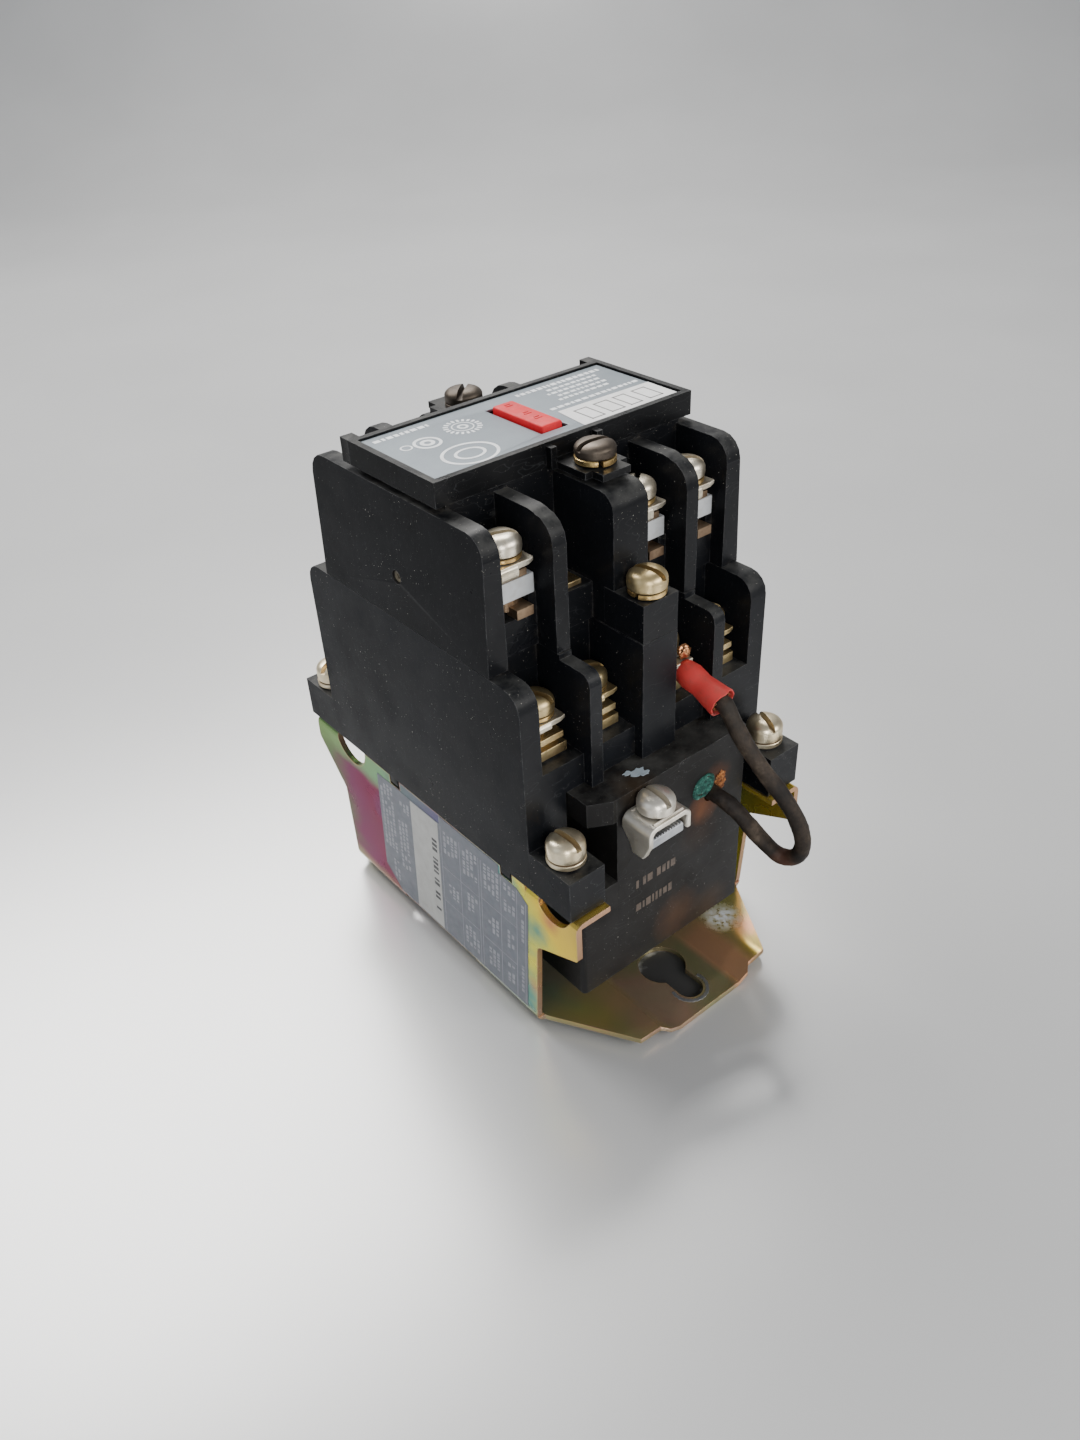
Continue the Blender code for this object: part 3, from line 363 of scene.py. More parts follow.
BLACK = black_moulding("black_moulding", (0.0050, 0.0056, 0.0072), 0.34, 1.0, 1.0)
BLACK_UPPER = black_moulding("black_moulding_upper", (0.0044, 0.0048, 0.0060), 0.33, 1.15, 21.0)
BLACK_COVER = black_moulding("black_cover", (0.0034, 0.0036, 0.0042), 0.31, 0.5, 33.0)
RESIN = coil_resin()
ZINC = zinc()
BRASS = metal("brass_screw", (0.76, 0.61, 0.34), (0.50, 0.38, 0.18), 0.34, 0.35, 1.0)
NICKEL = metal("nickel_screw", (0.94, 0.88, 0.74), (0.60, 0.52, 0.38), 0.34, 0.3, 11.0)
EAR_METAL = metal("silvered_brass", (0.94, 0.84, 0.62), (0.70, 0.57, 0.36), 0.32, 0.25, 13.0,
                  (0.30, 0.13, 0.04))
GOLD = metal("gold_washer", (0.86, 0.62, 0.26), (0.50, 0.31, 0.12), 0.26, 0.45, 15.0)
OXIDE = metal("oxidised_screw", (0.118, 0.096, 0.076), (0.042, 0.034, 0.026), 0.42, 0.85, 19.0,
              (0.045, 0.026, 0.020), 0.85, 0.6)
CLAMP = metal("clamp_zinc", (0.93, 0.89, 0.80), (0.74, 0.69, 0.59), 0.36, 0.15, 23.0,
              (0.30, 0.24, 0.16), 0.88)
GREY_STEEL = metal("grey_steel", (0.56, 0.58, 0.61), (0.34, 0.36, 0.39), 0.38, 0.3, 27.0)
GRIT = metal("rivet_grit", (0.26, 0.22, 0.15), (0.05, 0.045, 0.035), 0.55, 0.8, 43.0,
             (0.02, 0.018, 0.014), 0.5, 0.5)
IRON = metal("core_iron", (0.26, 0.25, 0.24), (0.14, 0.13, 0.12), 0.45, 0.4, 29.0)
STRIP = metal("contact_strip", (0.80, 0.64, 0.34), (0.42, 0.30, 0.15), 0.28, 0.45, 31.0)
BROWN = metal("brown_nut", (0.40, 0.29, 0.19), (0.17, 0.11, 0.07), 0.42, 0.6, 37.0)
STEEL_WIRE = metal("spring_wire", (0.6, 0.6, 0.58), (0.4, 0.4, 0.38), 0.28, 0.15, 41.0)
FOIL = foil()
RED = paint("indicator_red", (0.74, 0.012, 0.022), 0.50, (0.30, 0.015, 0.02), 0.35, 3.0,
            Specular_IOR_Level=0.3)
WHITE = paint("cartridge_white", (0.56, 0.58, 0.60), 0.42, (0.25, 0.22, 0.17), 0.25, 5.0)
STICKER = paint("blank_sticker", (0.78, 0.78, 0.78), 0.5, (0.5, 0.47, 0.4), 0.2, 7.0, 0.3)
STRIP_PAPER = paint("label_strip", (0.52, 0.52, 0.50), 0.5, (0.3, 0.28, 0.25), 0.25, 8.0, 0.2)
LABEL_INK = paint("label_ink", (0.33, 0.34, 0.38), 0.45, (0.15, 0.14, 0.16), 0.4, 10.0, 0.1)
INK = paint("pale_ink", (0.84, 0.86, 0.88), 0.45, (0.3, 0.3, 0.3), 0.25, 9.0, 0.1)
GREY_INK = paint("grey_ink", (0.16, 0.16, 0.16), 0.5, (0.2, 0.2, 0.2), 0.2, 9.0, 0.1)
COIL_INK = paint("coil_ink", (0.115, 0.088, 0.070), 0.5, (0.02, 0.016, 0.014), 0.7, 51.0, 0.1)
DARK_INK = paint("dark_ink", (0.03, 0.03, 0.035), 0.45, (0.1, 0.1, 0.1), 0.2, 9.0, 0.1)
LABEL = paint("label_grey", (0.137, 0.153, 0.184), 0.42, (0.13, 0.10, 0.14), 0.30, 12.0, 0.2)
SPOT = paint("paint_spot", (0.42, 0.50, 0.56), 0.6, (0.15, 0.17, 0.2), 0.4, 14.0, 0.3)
SLEEVE = paint("sleeve_red", (0.66, 0.052, 0.046), 0.46, (0.36, 0.075, 0.055), 0.55, 16.0)
COPPER = metal("copper_strand", (0.86, 0.42, 0.20), (0.50, 0.20, 0.09), 0.34, 0.4, 47.0)
FRAY = paint("copper_fray", (0.42, 0.17, 0.06), 0.55, (0.1, 0.05, 0.03), 0.5, 18.0)
LEAD = insulation()
SALTS = corrosion()


# ------------------------------------------------------------------- meshes

def piece(name, bm, mat, body=ROOT, replaces=(), angle=35.0, bevel=0.0, segments=2):
    """Turns a bmesh in millimetres into a shown piece that rides on a CAD body."""
    bmesh.ops.scale(bm, vec=(MM, MM, MM), verts=bm.verts)
    bmesh.ops.recalc_face_normals(bm, faces=bm.faces)
    mesh = bpy.data.meshes.new(name)
    bm.to_mesh(mesh)
    bm.free()
    mesh.materials.append(mat)
    mesh.shade_smooth()
    mesh.set_sharp_from_angle(angle=math.radians(angle))
    obj = bpy.data.objects.new(name, mesh)
    bpy.context.scene.collection.objects.link(obj)
    if bevel:
        add_bevel(obj, bevel, segments)
    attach(obj, body)
    if replaces:
        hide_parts(*replaces)
    return obj


def add_bevel(obj, width, segments, angle=28.0, curved=False):
    """Rounds sharp edges; a curved piece keeps its smooth shading beside them."""
    made = obj.modifiers.new("edge", "BEVEL")
    made.width = width * MM
    made.segments = segments
    made.limit_method = "ANGLE"
    made.angle_limit = math.radians(angle)
    made.use_clamp_overlap = True
    made.harden_normals = not curved
    made.miter_outer = "MITER_ARC"
    if curved:
        obj.modifiers.new("shading", "WEIGHTED_NORMAL").keep_sharp = True


def refined(node, mat, bevel, segments, body=ROOT):
    """Copy of a CAD node with its flat faces merged, rounded edges and a new finish."""
    bm = bmesh.new()
    bm.from_mesh(NODES[node].data)
    bmesh.ops.remove_doubles(bm, verts=bm.verts, dist=0.002 * MM)
    bmesh.ops.dissolve_limit(bm, angle_limit=math.radians(0.6), verts=bm.verts, edges=bm.edges)
    bmesh.ops.scale(bm, vec=(1000.0,) * 3, verts=bm.verts)
    piece(node + "_v", bm, mat, body, (node,), 30.0, bevel, segments)


def box(bm, x, y, z, turn=None):
    """Box from (low, high) pairs in millimetres, optionally transformed."""
    made = bmesh.ops.create_cube(bm, size=1.0)["verts"]
    for v in made:
        v.co = Vector((x[0] + (v.co.x + 0.5) * (x[1] - x[0]), y[0] + (v.co.y + 0.5) * (y[1] - y[0]),
                       z[0] + (v.co.z + 0.5) * (z[1] - z[0])))
    if turn is not None:
        bmesh.ops.transform(bm, matrix=turn, verts=made)


def prism(bm, outline, axis, start, stop):
    """Outline extruded along x, y or z."""
    def place(point, along):
        out = list(point)
        out.insert("xyz".index(axis), along)
        return out

    low = [bm.verts.new(place(p, start)) for p in outline]
    high = [bm.verts.new(place(p, stop)) for p in outline]
    bm.faces.new(low)
    bm.faces.new(high[::-1])
    for i in range(len(outline)):
        j = (i + 1) % len(outline)
        bm.faces.new((low[i], low[j], high[j], high[i]))


def lathe(bm, profile, segments, centre):
    """Closed solid of revolution; the profile of (radius, z) starts and ends on the axis."""
    rings = []
    for radius, z in profile:
        if radius < 1e-6:
            rings.append([bm.verts.new((centre[0], centre[1], z))])
            continue
        step = 2.0 * math.pi / segments
        rings.append([bm.verts.new((centre[0] + radius * math.cos(k * step),
                                    centre[1] + radius * math.sin(k * step), z)) for k in range(segments)])
    skin_rings(bm, rings)


def skin_rings(bm, rings, closed=False):
    """Faces between neighbouring rings of vertices; a one-vertex ring becomes a fan."""
    pairs = list(zip(rings, rings[1:]))
    if closed:
        pairs.append((rings[-1], rings[0]))
    for a, b in pairs:
        count = max(len(a), len(b))
        for k in range(count):
            n = (k + 1) % count
            if len(a) == 1:
                bm.faces.new((a[0], b[k], b[n]))
            elif len(b) == 1:
                bm.faces.new((a[n], a[k], b[0]))
            else:
                bm.faces.new((a[k], a[n], b[n], b[k]))


def cap_ends(bm, rings):
    """One flat face over the first ring and one over the last."""
    bm.faces.new(rings[0][::-1])
    bm.faces.new(rings[-1])


def sweep(bm, path, radius, segments, rough=0.0):
    """Round bar along a path, with an optional uneven surface; radius may be a function of (share, turn)."""
    points = [Vector(p) for p in path]
    count = len(points)
    rings = []
    side = None
    for i, point in enumerate(points):
        ahead = (points[min(i + 1, count - 1)] - points[max(i - 1, 0)]).normalized()
        if side is None:
            side = ahead.cross(Vector((0.0, 0.0, 1.0)))
            if side.length < 0.1:
                side = ahead.cross(Vector((0.0, 1.0, 0.0)))
        side = (side - ahead * side.dot(ahead)).normalized()
        other = ahead.cross(side)
        ring = []
        for k in range(segments):
            turn = 2.0 * math.pi * k / segments
            size = radius(i / (count - 1), turn) if callable(radius) else radius
            out = side * math.cos(turn) + other * math.sin(turn)
            if rough:
                size += rough * noise.noise((point + out * size) * 1.3)
            ring.append(bm.verts.new(point + out * size))
        rings.append(ring)
    skin_rings(bm, rings)
    cap_ends(bm, rings)


def smooth_path(points, steps):
    """Catmull-Rom curve through the points."""
    pts = [Vector(p) for p in points]
    pts = [pts[0] * 2.0 - pts[1]] + pts + [pts[-1] * 2.0 - pts[-2]]
    out = []
    for i in range(1, len(pts) - 2):
        a, b, c, d = pts[i - 1:i + 3]
        for s in range(steps):
            t = s / steps
            out.append(0.5 * (2 * b + (c - a) * t + (2 * a - 5 * b + 4 * c - d) * t ** 2
                              + (3 * b - a - 3 * c + d) * t ** 3))
    out.append(pts[-2])
    return out


def arc(centre, radius, start, stop, steps=8):
    """Points on an arc, angles in degrees."""
    turns = [math.radians(start + (stop - start) * k / steps) for k in range(steps + 1)]
    return [(centre[0] + radius * math.cos(t), centre[1] + radius * math.sin(t)) for t in turns]


def subtract(obj, cutters):
    """Cuts bmesh solids (millimetres) out of a finished piece and applies the result."""
    for bm in cutters:
        bmesh.ops.scale(bm, vec=(MM, MM, MM), verts=bm.verts)
        bmesh.ops.recalc_face_normals(bm, faces=bm.faces)
        mesh = bpy.data.meshes.new("cutter")
        bm.to_mesh(mesh)
        bm.free()
        cutter = bpy.data.objects.new("cutter", mesh)
        bpy.context.scene.collection.objects.link(cutter)
        made = obj.modifiers.new("cut", "BOOLEAN")
        made.solver = "EXACT"
        made.object = cutter
        made.operation = "DIFFERENCE"
        bpy.context.view_layer.update()
        graph = bpy.context.evaluated_depsgraph_get()
        result = bpy.data.meshes.new_from_object(obj.evaluated_get(graph))
        obj.modifiers.clear()
        obj.data = result
        bpy.data.objects.remove(cutter, do_unlink=True)
    obj.data.shade_smooth()
    obj.data.set_sharp_from_angle(angle=math.radians(32.0))


# --------------------------------------------------------------- mouldings

def housings():
    """Mouldings, base and magnet parts keep their CAD shape and get rounded edges and finishes."""
    refined("lower_housing", BLACK, 0.35, 3)
    refined("upper_housing", BLACK_UPPER, 0.35, 3)
    refined("top_cover", BLACK_COVER, 0.3, 3)
    refined("coil_body", RESIN, 0.5, 3)
    refined("nameplate", FOIL, 0.12, 2)
    refined("base_bracket", ZINC, 0.28, 3)
    refined("magnet_frame", IRON, 0.4, 2)
    refined("armature", IRON, 0.4, 2, "moving_group")
    refined("contact_carrier", BLACK, 0.3, 2, "moving_group")


def contacts():
    """Bridges, fixed strips and the white cartridges of both decks."""
    for i in range(1, 5):
        refined(f"lower_bridge_{i}", STRIP, 0.2, 2, "moving_group")
        for side in ("near", "far"):
            refined(f"lower_strip_{side}_{i}", STRIP if i % 2 else BRASS, 0.22, 2)
    for i in range(1, 4):
        refined(f"upper_bridge_{i}", STRIP, 0.2, 2, "moving_group")
        refined(f"upper_cartridge_{i}", WHITE, 0.2, 2)
        for side in ("near", "far"):
            refined(f"upper_strip_{side}_{i}", BROWN, 0.2, 2)


def indicator():
    """Red bar with a flat, finger-worn top and a few low raised marks."""
    x, y0, y1 = 2.2, -8.4, 5.4
    bm = bmesh.new()
    rings = []
    for inset, z in ((0.0, 102.4), (0.0, 108.85), (0.05, 109.0), (0.18, 109.12), (0.32, 109.16)):
        w, a, b, r = x - inset, y0 + inset * 1.6, y1 - inset, max(0.12, 0.35 - inset * 0.4)
        outline = (arc((w - r, b - r), r, 0, 90, 4) + arc((-w + r, b - r), r, 90, 180, 4)
                   + arc((-w + r, a + r), r, 180, 270, 4) + arc((w - r, a + r), r, 270, 360, 4))
        rings.append([bm.verts.new((p[0], p[1], z)) for p in outline])
    skin_rings(bm, rings)
    cap_ends(bm, rings)
    piece("indicator_bar", bm, RED, "moving_group", ("red_indicator",), 40.0)
    bm = bmesh.new()
    for y in (3.4, -1.7, -4.6):
        for k in range(2):
            at = y + 0.75 * k
            box(bm, (-0.7 + 0.3 * k, 0.8 - 0.1 * k), (at - 0.2, at + 0.1), (109.1, 109.27))
    piece("indicator_marks", bm, RED, "moving_group", (), 40.0, 0.07)


# ------------------------------------------------------------------ screws

SLOT_W = 1.1
SHANK_R = 1.45
HEAD_R = 3.5


def head_profile(base, rise, radius, flank):
    """Round head: a short flank that bellies out a little, then a domed crown."""
    out = [(radius - 0.4, base), (radius - 0.08, base + 0.25), (radius, base + flank * 0.6),
           (radius - 0.03, base + flank)]
    crown = rise - flank
    for k in range(1, 12):
        t = math.pi / 2 * k / 12
        out.append((radius * math.cos(t) ** 0.62, base + flank + crown * math.sin(t)))
    out.append((0.0, base + rise))
    return out


def lock_washer(name, x, y, z, radius, mat, body, start, height=0.85):
    """Split spring washer: a flat ring, cut and slightly lifted at one end."""
    bm = bmesh.new()
    rings = []
    for k in range(ROUND + 1):
        share = k / ROUND
        turn = math.radians(start) + math.radians(346) * share
        lift = 0.16 * share
        c, s = math.cos(turn), math.sin(turn)
        ring = []
        for r, h in ((radius - 1.3, 0.0), (radius - 0.08, 0.0), (radius, 0.1), (radius, height - 0.26),
                     (radius - 0.1, height - 0.16), (radius - 1.3, height - 0.16)):
            ring.append(bm.verts.new((x + r * c, y + r * s, z + h + lift)))
        rings.append(ring)
    skin_rings(bm, rings)
    cap_ends(bm, rings)
    piece(name, bm, mat, body)


def slotted_head(name, x, y, base, rise, radius, flank, slot_deg, mat, body, replaces, shank, depth=1.5):
    """Screw head with a cut slot, and its shank of (radius, lower end) below."""
    bm = bmesh.new()
    thick, low = shank
    profile = [(0.0, low), (thick - 0.3, low), (thick, low + 0.3), (thick, base)]
    lathe(bm, profile + head_profile(base, rise, radius, flank), ROUND, (x, y))
    obj = piece(name, bm, mat, body, replaces)
    cutter = bmesh.new()
    turn = Matrix.Translation((x, y, 0)) @ Matrix.Rotation(math.radians(slot_deg), 4, "Z")
    box(cutter, (-6.0, 6.0), (-SLOT_W / 2, SLOT_W / 2), (base + rise - depth, base + rise + 3.0), turn)
    subtract(obj, [cutter])
    add_bevel(obj, 0.1, 2, 40.0, True)


def pressure_plate(name, x, y, z, mat, body, sy, deck):
    """Saddle clamp: a plate whose sides lift a little and whose outer edge carries a curled lip."""
    bm = bmesh.new()
    outline = [(-3.55, z + 0.5), (-2.6, z + 0.05), (-1.5, z), (1.5, z), (2.6, z + 0.05), (3.55, z + 0.5)]
    outline += [(3.6, z + 1.25), (2.6, z + 1.05), (1.8, z + 1.1), (-1.8, z + 1.1), (-2.6, z + 1.05),
                (-3.6, z + 1.25)]
    prism(bm, [(x + p, q) for p, q in outline], "y", y - 3.65, y + 3.65)
    piece(name, bm, mat, body, (), 35.0, 0.2, 2)
    drop = {"upper": 1.35, "lower": 0.25, "lug": 0.05}[deck]
    bm = bmesh.new()
    lip = [(3.1, z + 1.05), (3.55, z + 0.98), (3.9, z + 0.6), (4.0, z + 0.1), (3.95, z - drop * 0.63),
           (3.7, z - drop), (3.2, z - drop * 0.93), (3.05, z - drop * 0.56), (3.1, z)]
    prism(bm, [(y + sy * p, q) for p, q in lip], "x", x - 3.2, x + 0.4)
    piece(name + "_lip", bm, mat, body, (), 35.0, 0.18, 2)


LOWER_X = (-20.6, -8.7, 8.7, 20.6)
UPPER_X = (-20.6, 8.7, 20.6)
SLOTS = {
    "lower_near": (-64, -18, 70, -20), "lower_far": (-15, 65, -35, 40),
    "upper_near": (-20, 40, -35), "upper_far": (-35, 65, -15),
}
EAR_SLOTS = {(-1, -1): 93, (1, -1): 68, (-1, 1): 20, (1, 1): 50}


def terminals():
    """Captive terminal screws: plate, split washer and slotted head, riding on their own slides."""
    for deck, xs, y, z in (("lower", LOWER_X, 25.8, 67.7), ("upper", UPPER_X, 19.5, 94.9)):
        for side, sy in (("near", -1), ("far", 1)):
            for i, x in enumerate(xs):
                node = f"{deck}_terminal_{side}_{i + 1}"
                body = node + "_group"
                head = BRASS if deck == "lower" else NICKEL
                plate = NICKEL if deck == "upper" else (BRASS if i % 2 else NICKEL)
                slotted_head(node + "_head", x, sy * y, z + 2.1, 3.3, 3.4, 1.45,
                             SLOTS[f"{deck}_{side}"][i], head, body, (node,), (SHANK_R, z - 4.3))
                lock_washer(node + "_washer", x, sy * y, z + 1.15, 3.25, GOLD, body, 40 + 70 * i)
                over = "lug" if node == "lower_terminal_near_3" else deck
                pressure_plate(node + "_plate", x, sy * y, z, plate, body, sy, over)


def housing_screws():
    """Screws with spring washers on the ears, on the centre posts and on the cover."""
    for side, sy in (("near", -1), ("far", 1)):
        for hand, sx in (("left", -1), ("right", 1)):
            name = f"ear_screw_{side}_{hand}"
            x, y = sx * 25.05, sy * 37.9
            slotted_head(name + "_head", x, y, 48.05, 3.95, HEAD_R, 2.15, EAR_SLOTS[sx, sy],
                         EAR_METAL, ROOT, (name,), (SHANK_R, 33.8))
            lock_washer(name + "_washer", x, y, 46.95, 3.55, EAR_METAL, ROOT, 100 if sx < 0 else 30, 1.1)
        name = f"deck_screw_{side}"
        slotted_head(name + "_head", 0, sy * 31.3, 87.45, 3.35, HEAD_R, 1.5, 101 if sy < 0 else 30,
                     BRASS, ROOT, (name,), (SHANK_R, 70.4))
        lock_washer(name + "_washer", 0, sy * 31.3, 86.45, 3.35, GOLD, ROOT, 200, 1.0)
        name = f"cover_screw_{side}"
        y = -19.0 if sy < 0 else 16.9
        slotted_head(name + "_head", 0, y, 106.8, 2.52, HEAD_R, 1.15, -5 if sy < 0 else 42,
                     OXIDE, ROOT, (name,), (SHANK_R, 94.8), depth=1.3)
        lock_washer(name + "_washer", 0, y, 105.75, 3.5, GOLD if sy < 0 else OXIDE, ROOT, 250, 1.1)


# ------------------------------------------------------------ coil terminal

CLAMP_AT = (-9.0, -43.2)


def coil_clamp():
    """Saddle bent from strip with a long tapered left leg, its screw, and the serrated plate below it."""
    cx, cy = CLAMP_AT
    outer = [(cx - 5.0, 44.6)] + arc((cx - 3.1, 50.1), 1.9, 180, 90, 8) + arc((cx + 3.4, 50.4), 1.6, 90, 0, 8)
    inner = arc((cx + 3.3, 50.2), 0.7, 0, 90, 5) + arc((cx - 3.1, 50.0), 0.9, 90, 180, 5)
    outline = outer + [(cx + 5.0, 47.6), (cx + 4.0, 47.6)] + inner + [(cx - 4.0, 44.6)]
    bm = bmesh.new()
    prism(bm, outline, "y", -46.9, -39.85)
    saddle = piece("coil_clamp_saddle", bm, CLAMP, "coil_clamp", ("coil_terminal",), 40.0)
    hole = bmesh.new()
    lathe(hole, [(0, 49), (2.1, 49), (2.1, 53), (0, 53)], 32, (cx, cy))
    taper = bmesh.new()
    prism(taper, [(-38.0, 49.4), (-39.85, 49.0), (-41.7, 46.6), (-42.2, 45.4), (-42.4, 44.0), (-38.0, 44.0)],
          "x", cx - 6, cx - 3)
    front = bmesh.new()
    prism(front, [(-48.0, 48.2), (-46.9, 48.0), (-46.2, 46.6), (-45.8, 45.6), (-45.3, 44.9), (-44.8, 44.0),
                  (-48.0, 44.0)], "x", cx - 6, cx - 3)
    subtract(saddle, [hole, taper, front])
    add_bevel(saddle, 0.3, 3, 35.0)
    for k, y in enumerate((-46.1, -40.7)):
        bm = bmesh.new()
        rib = [(cx + dx, y, z) for dx, z in ((-3.4, 51.93), (-1.0, 52.02), (1.2, 52.02), (3.5, 51.93))]
        sweep(bm, smooth_path(rib, 6), 0.3, 10)
        piece(f"coil_clamp_rib_{k + 1}", bm, CLAMP, "coil_clamp")
    slotted_head("coil_clamp_screw", cx, cy, 52.4, 3.4, 3.45, 1.5, 88, CLAMP, "coil_clamp", (), (1.4, 44.7))
    bm = bmesh.new()
    box(bm, (cx - 3.82, cx + 3.82), (-46.25, -39.6), (46.9, 48.75))
    plate = piece("coil_clamp_plate", bm, GREY_STEEL)
    hole = bmesh.new()
    lathe(hole, [(0, 46), (1.9, 46), (1.9, 50), (0, 50)], 32, (cx, cy))
    subtract(plate, [hole])
    add_bevel(plate, 0.18, 2, 35.0)
    bm = bmesh.new()
    for k in range(11):
        x = cx - 3.3 + 0.66 * k
        prism(bm, [(x - 0.3, 48.7), (x + 0.3, 48.7), (x, 49.15)], "y", -46.1, -44.9)
    piece("coil_clamp_teeth", bm, GREY_STEEL)


# -------------------------------------------------------------- jumper lead

SLEEVE_START = Vector((8.8, -31.0, 67.4))
SLEEVE_END = Vector((9.3, -40.9, 64.3))
LOOP = (
    (9.7, -43.1, 61.5), (10.4, -45.3, 57.8), (12.1, -49.1, 52.1), (14.1, -52.5, 47.0),
    (15.6, -54.9, 42.0), (16.2, -56.0, 37.2), (16.1, -54.8, 33.4), (15.2, -51.8, 32.3),
    (13.3, -48.6, 35.5), (11.2, -45.6, 40.0), (10.0, -43.2, 42.4), (9.3, -40.8, 43.4),
    (9.1, -38.6, 43.6), (9.1, -36.9, 43.6),
)


def jumper():
    """Loose lead that loops from the sleeve back into the coil block."""
    ahead = (SLEEVE_END - SLEEVE_START).normalized()
    path = [SLEEVE_END - ahead * 3.0, SLEEVE_END - ahead * 1.2, SLEEVE_END + ahead * 0.6, *LOOP]
    bm = bmesh.new()

    def girth(share, turn):
        return 1.56 + 0.05 * math.sin(60 * share) * math.sin(2 * turn)

    sweep(bm, smooth_path(path, 12), girth, 32, 0.09)
    piece("jumper_lead", bm, LEAD, ROOT, ("jumper_wire",), 60.0)
    sleeve(ahead)


def sleeve(ahead):
    """Insulating sleeve with a flared, slightly torn mouth, on its ring tongue."""
    start, end = SLEEVE_START, SLEEVE_END
    bm = bmesh.new()
    shape = (
        (0.0, 1.7), (0.02, 2.0), (0.10, 2.3), (0.26, 2.5), (0.42, 2.36), (0.52, 2.30), (0.62, 2.42),
        (0.76, 2.66), (0.90, 2.78), (0.97, 2.86), (1.0, 2.84), (1.005, 2.66), (0.985, 2.46),
        (0.90, 2.30), (0.80, 2.1), (0.72, 1.8), (0.66, 1.3))
    rings = []
    side = ahead.cross(Vector((0, 0, 1))).normalized()
    other = ahead.cross(side)
    for share, radius in shape:
        centre = start.lerp(end, share)
        ring = []
        for k in range(ROUND):
            turn = 2 * math.pi * k / ROUND
            out = side * math.cos(turn) + other * math.sin(turn)
            torn = 0.35 * noise.noise(out * 2.4) if share > 0.95 else 0.0
            uneven = 0.16 * noise.noise((centre + out * radius) * 0.55)
            ring.append(bm.verts.new(centre + out * (radius + uneven) + ahead * torn))
        rings.append(ring)
    skin_rings(bm, rings)
    cap_ends(bm, rings)
    piece("jumper_sleeve", bm, SLEEVE, ROOT, ("jumper_lug",), 50.0)
    x, y, z = 8.7, -25.8, 66.57
    bm = bmesh.new()
    outline = arc((x, y), 3.15, -60, 240, 28) + [(x - 1.6, -31.8), (x + 1.6, -31.8)]
    prism(bm, outline, "z", z, z + 0.85)
    ring = piece("jumper_ring_tongue", bm, BRASS)
    hole = bmesh.new()
    lathe(hole, [(0, 60), (1.9, 60), (1.9, 75), (0, 75)], 32, (x, y))
    subtract(ring, [hole])
    add_bevel(ring, 0.12, 2, 35.0)
    crust("jumper_strands", (9.4, -31.1, 70.5), (1.35, 0.9, 1.45), COPPER, 3.0, 0.22)
    bm = bmesh.new()
    box(bm, (6.9, 11.0), (-32.0, -30.1), (67.6, 69.0))
    piece("jumper_strap", bm, NICKEL, bevel=0.25)
    bm = bmesh.new()
    rng = random.Random(5)
    base = end - ahead * 0.5
    for _ in range(16):
        turn = rng.uniform(0, 2 * math.pi)
        out = side * math.cos(turn) + other * math.sin(turn)
        a = base + out * 1.75 - ahead * 0.8
        b = base + out * (1.85 + rng.uniform(0, 0.15)) + ahead * rng.uniform(0.1, 0.4)
        sweep(bm, [a, a.lerp(b, 0.5) + out * 0.05, b], 0.11, 6)
    piece("jumper_fray", bm, FRAY)


def spring():
    """Return spring with closed, ground ends."""
    bm = bmesh.new()
    turns, steps, radius = 7.5, 24, 3.3
    z0, z1 = 43.9, 58.3
    count = int(turns * steps)
    path = []
    for k in range(count + 1):
        share = k / count
        eased = share - 0.035 * math.sin(2 * math.pi * share)
        turn = 2 * math.pi * turns * share
        path.append((radius * math.cos(turn), radius * math.sin(turn), z0 + (z1 - z0) * eased))
    sweep(bm, path, 0.42, 10)
    obj = piece("return_spring_coil", bm, STEEL_WIRE, ROOT, ("return_spring",), 60.0)
    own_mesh(obj)


# ------------------------------------------------------------------- labels

LABEL_OUTLINE = (
    (-31.3, 4.2), (12.6, 4.2), (18.3, 9.0), (18.3, 35.3), (-3.8, 35.3), (-3.8, 37.4),
    (-22.6, 37.4), (-22.6, 35.3), (-28.0, 35.3), (-31.3, 33.2),
)
LABEL_CELLS = (
    (-9.6, -5.0, 28.0, 34.4), (-9.4, -5.2, 16.0, 20.4), (-15.9, -11.0, 27.2, 34.8),
    (-15.7, -11.4, 17.5, 22.6), (-15.8, -11.0, 6.4, 12.8), (-22.6, -17.9, 27.4, 34.8),
    (-22.4, -18.0, 17.0, 22.2), (-22.4, -18.0, 6.6, 12.2), (-27.5, -23.8, 26.6, 34.2),
    (-27.2, -24.0, 16.6, 22.0), (-27.2, -24.0, 6.6, 12.4), (-30.2, -28.5, 6.0, 32.0),
    (12.9, 17.8, 15.0, 34.2), (8.2, 11.8, 12.5, 27.0), (7.0, 11.0, 29.5, 33.0), (12.9, 15.8, 6.6, 12.8),
)


def label_text(bm, mark, rng, y0, y1, z0, z1):
    """Block of unreadable marks: rows run upward along z, side by side in y."""
    pitch = 1.25
    y = y0
    while y + pitch * 0.62 <= y1:
        z = z0 + rng.uniform(0.0, 1.0)
        while z < z1 - 0.4:
            length = min(rng.uniform(0.35, 1.5), z1 - z)
            if rng.random() < 0.86:
                mark(bm, y, y + pitch * 0.62, z, z + length)
            z += length + rng.uniform(0.22, 0.42)
        y += pitch


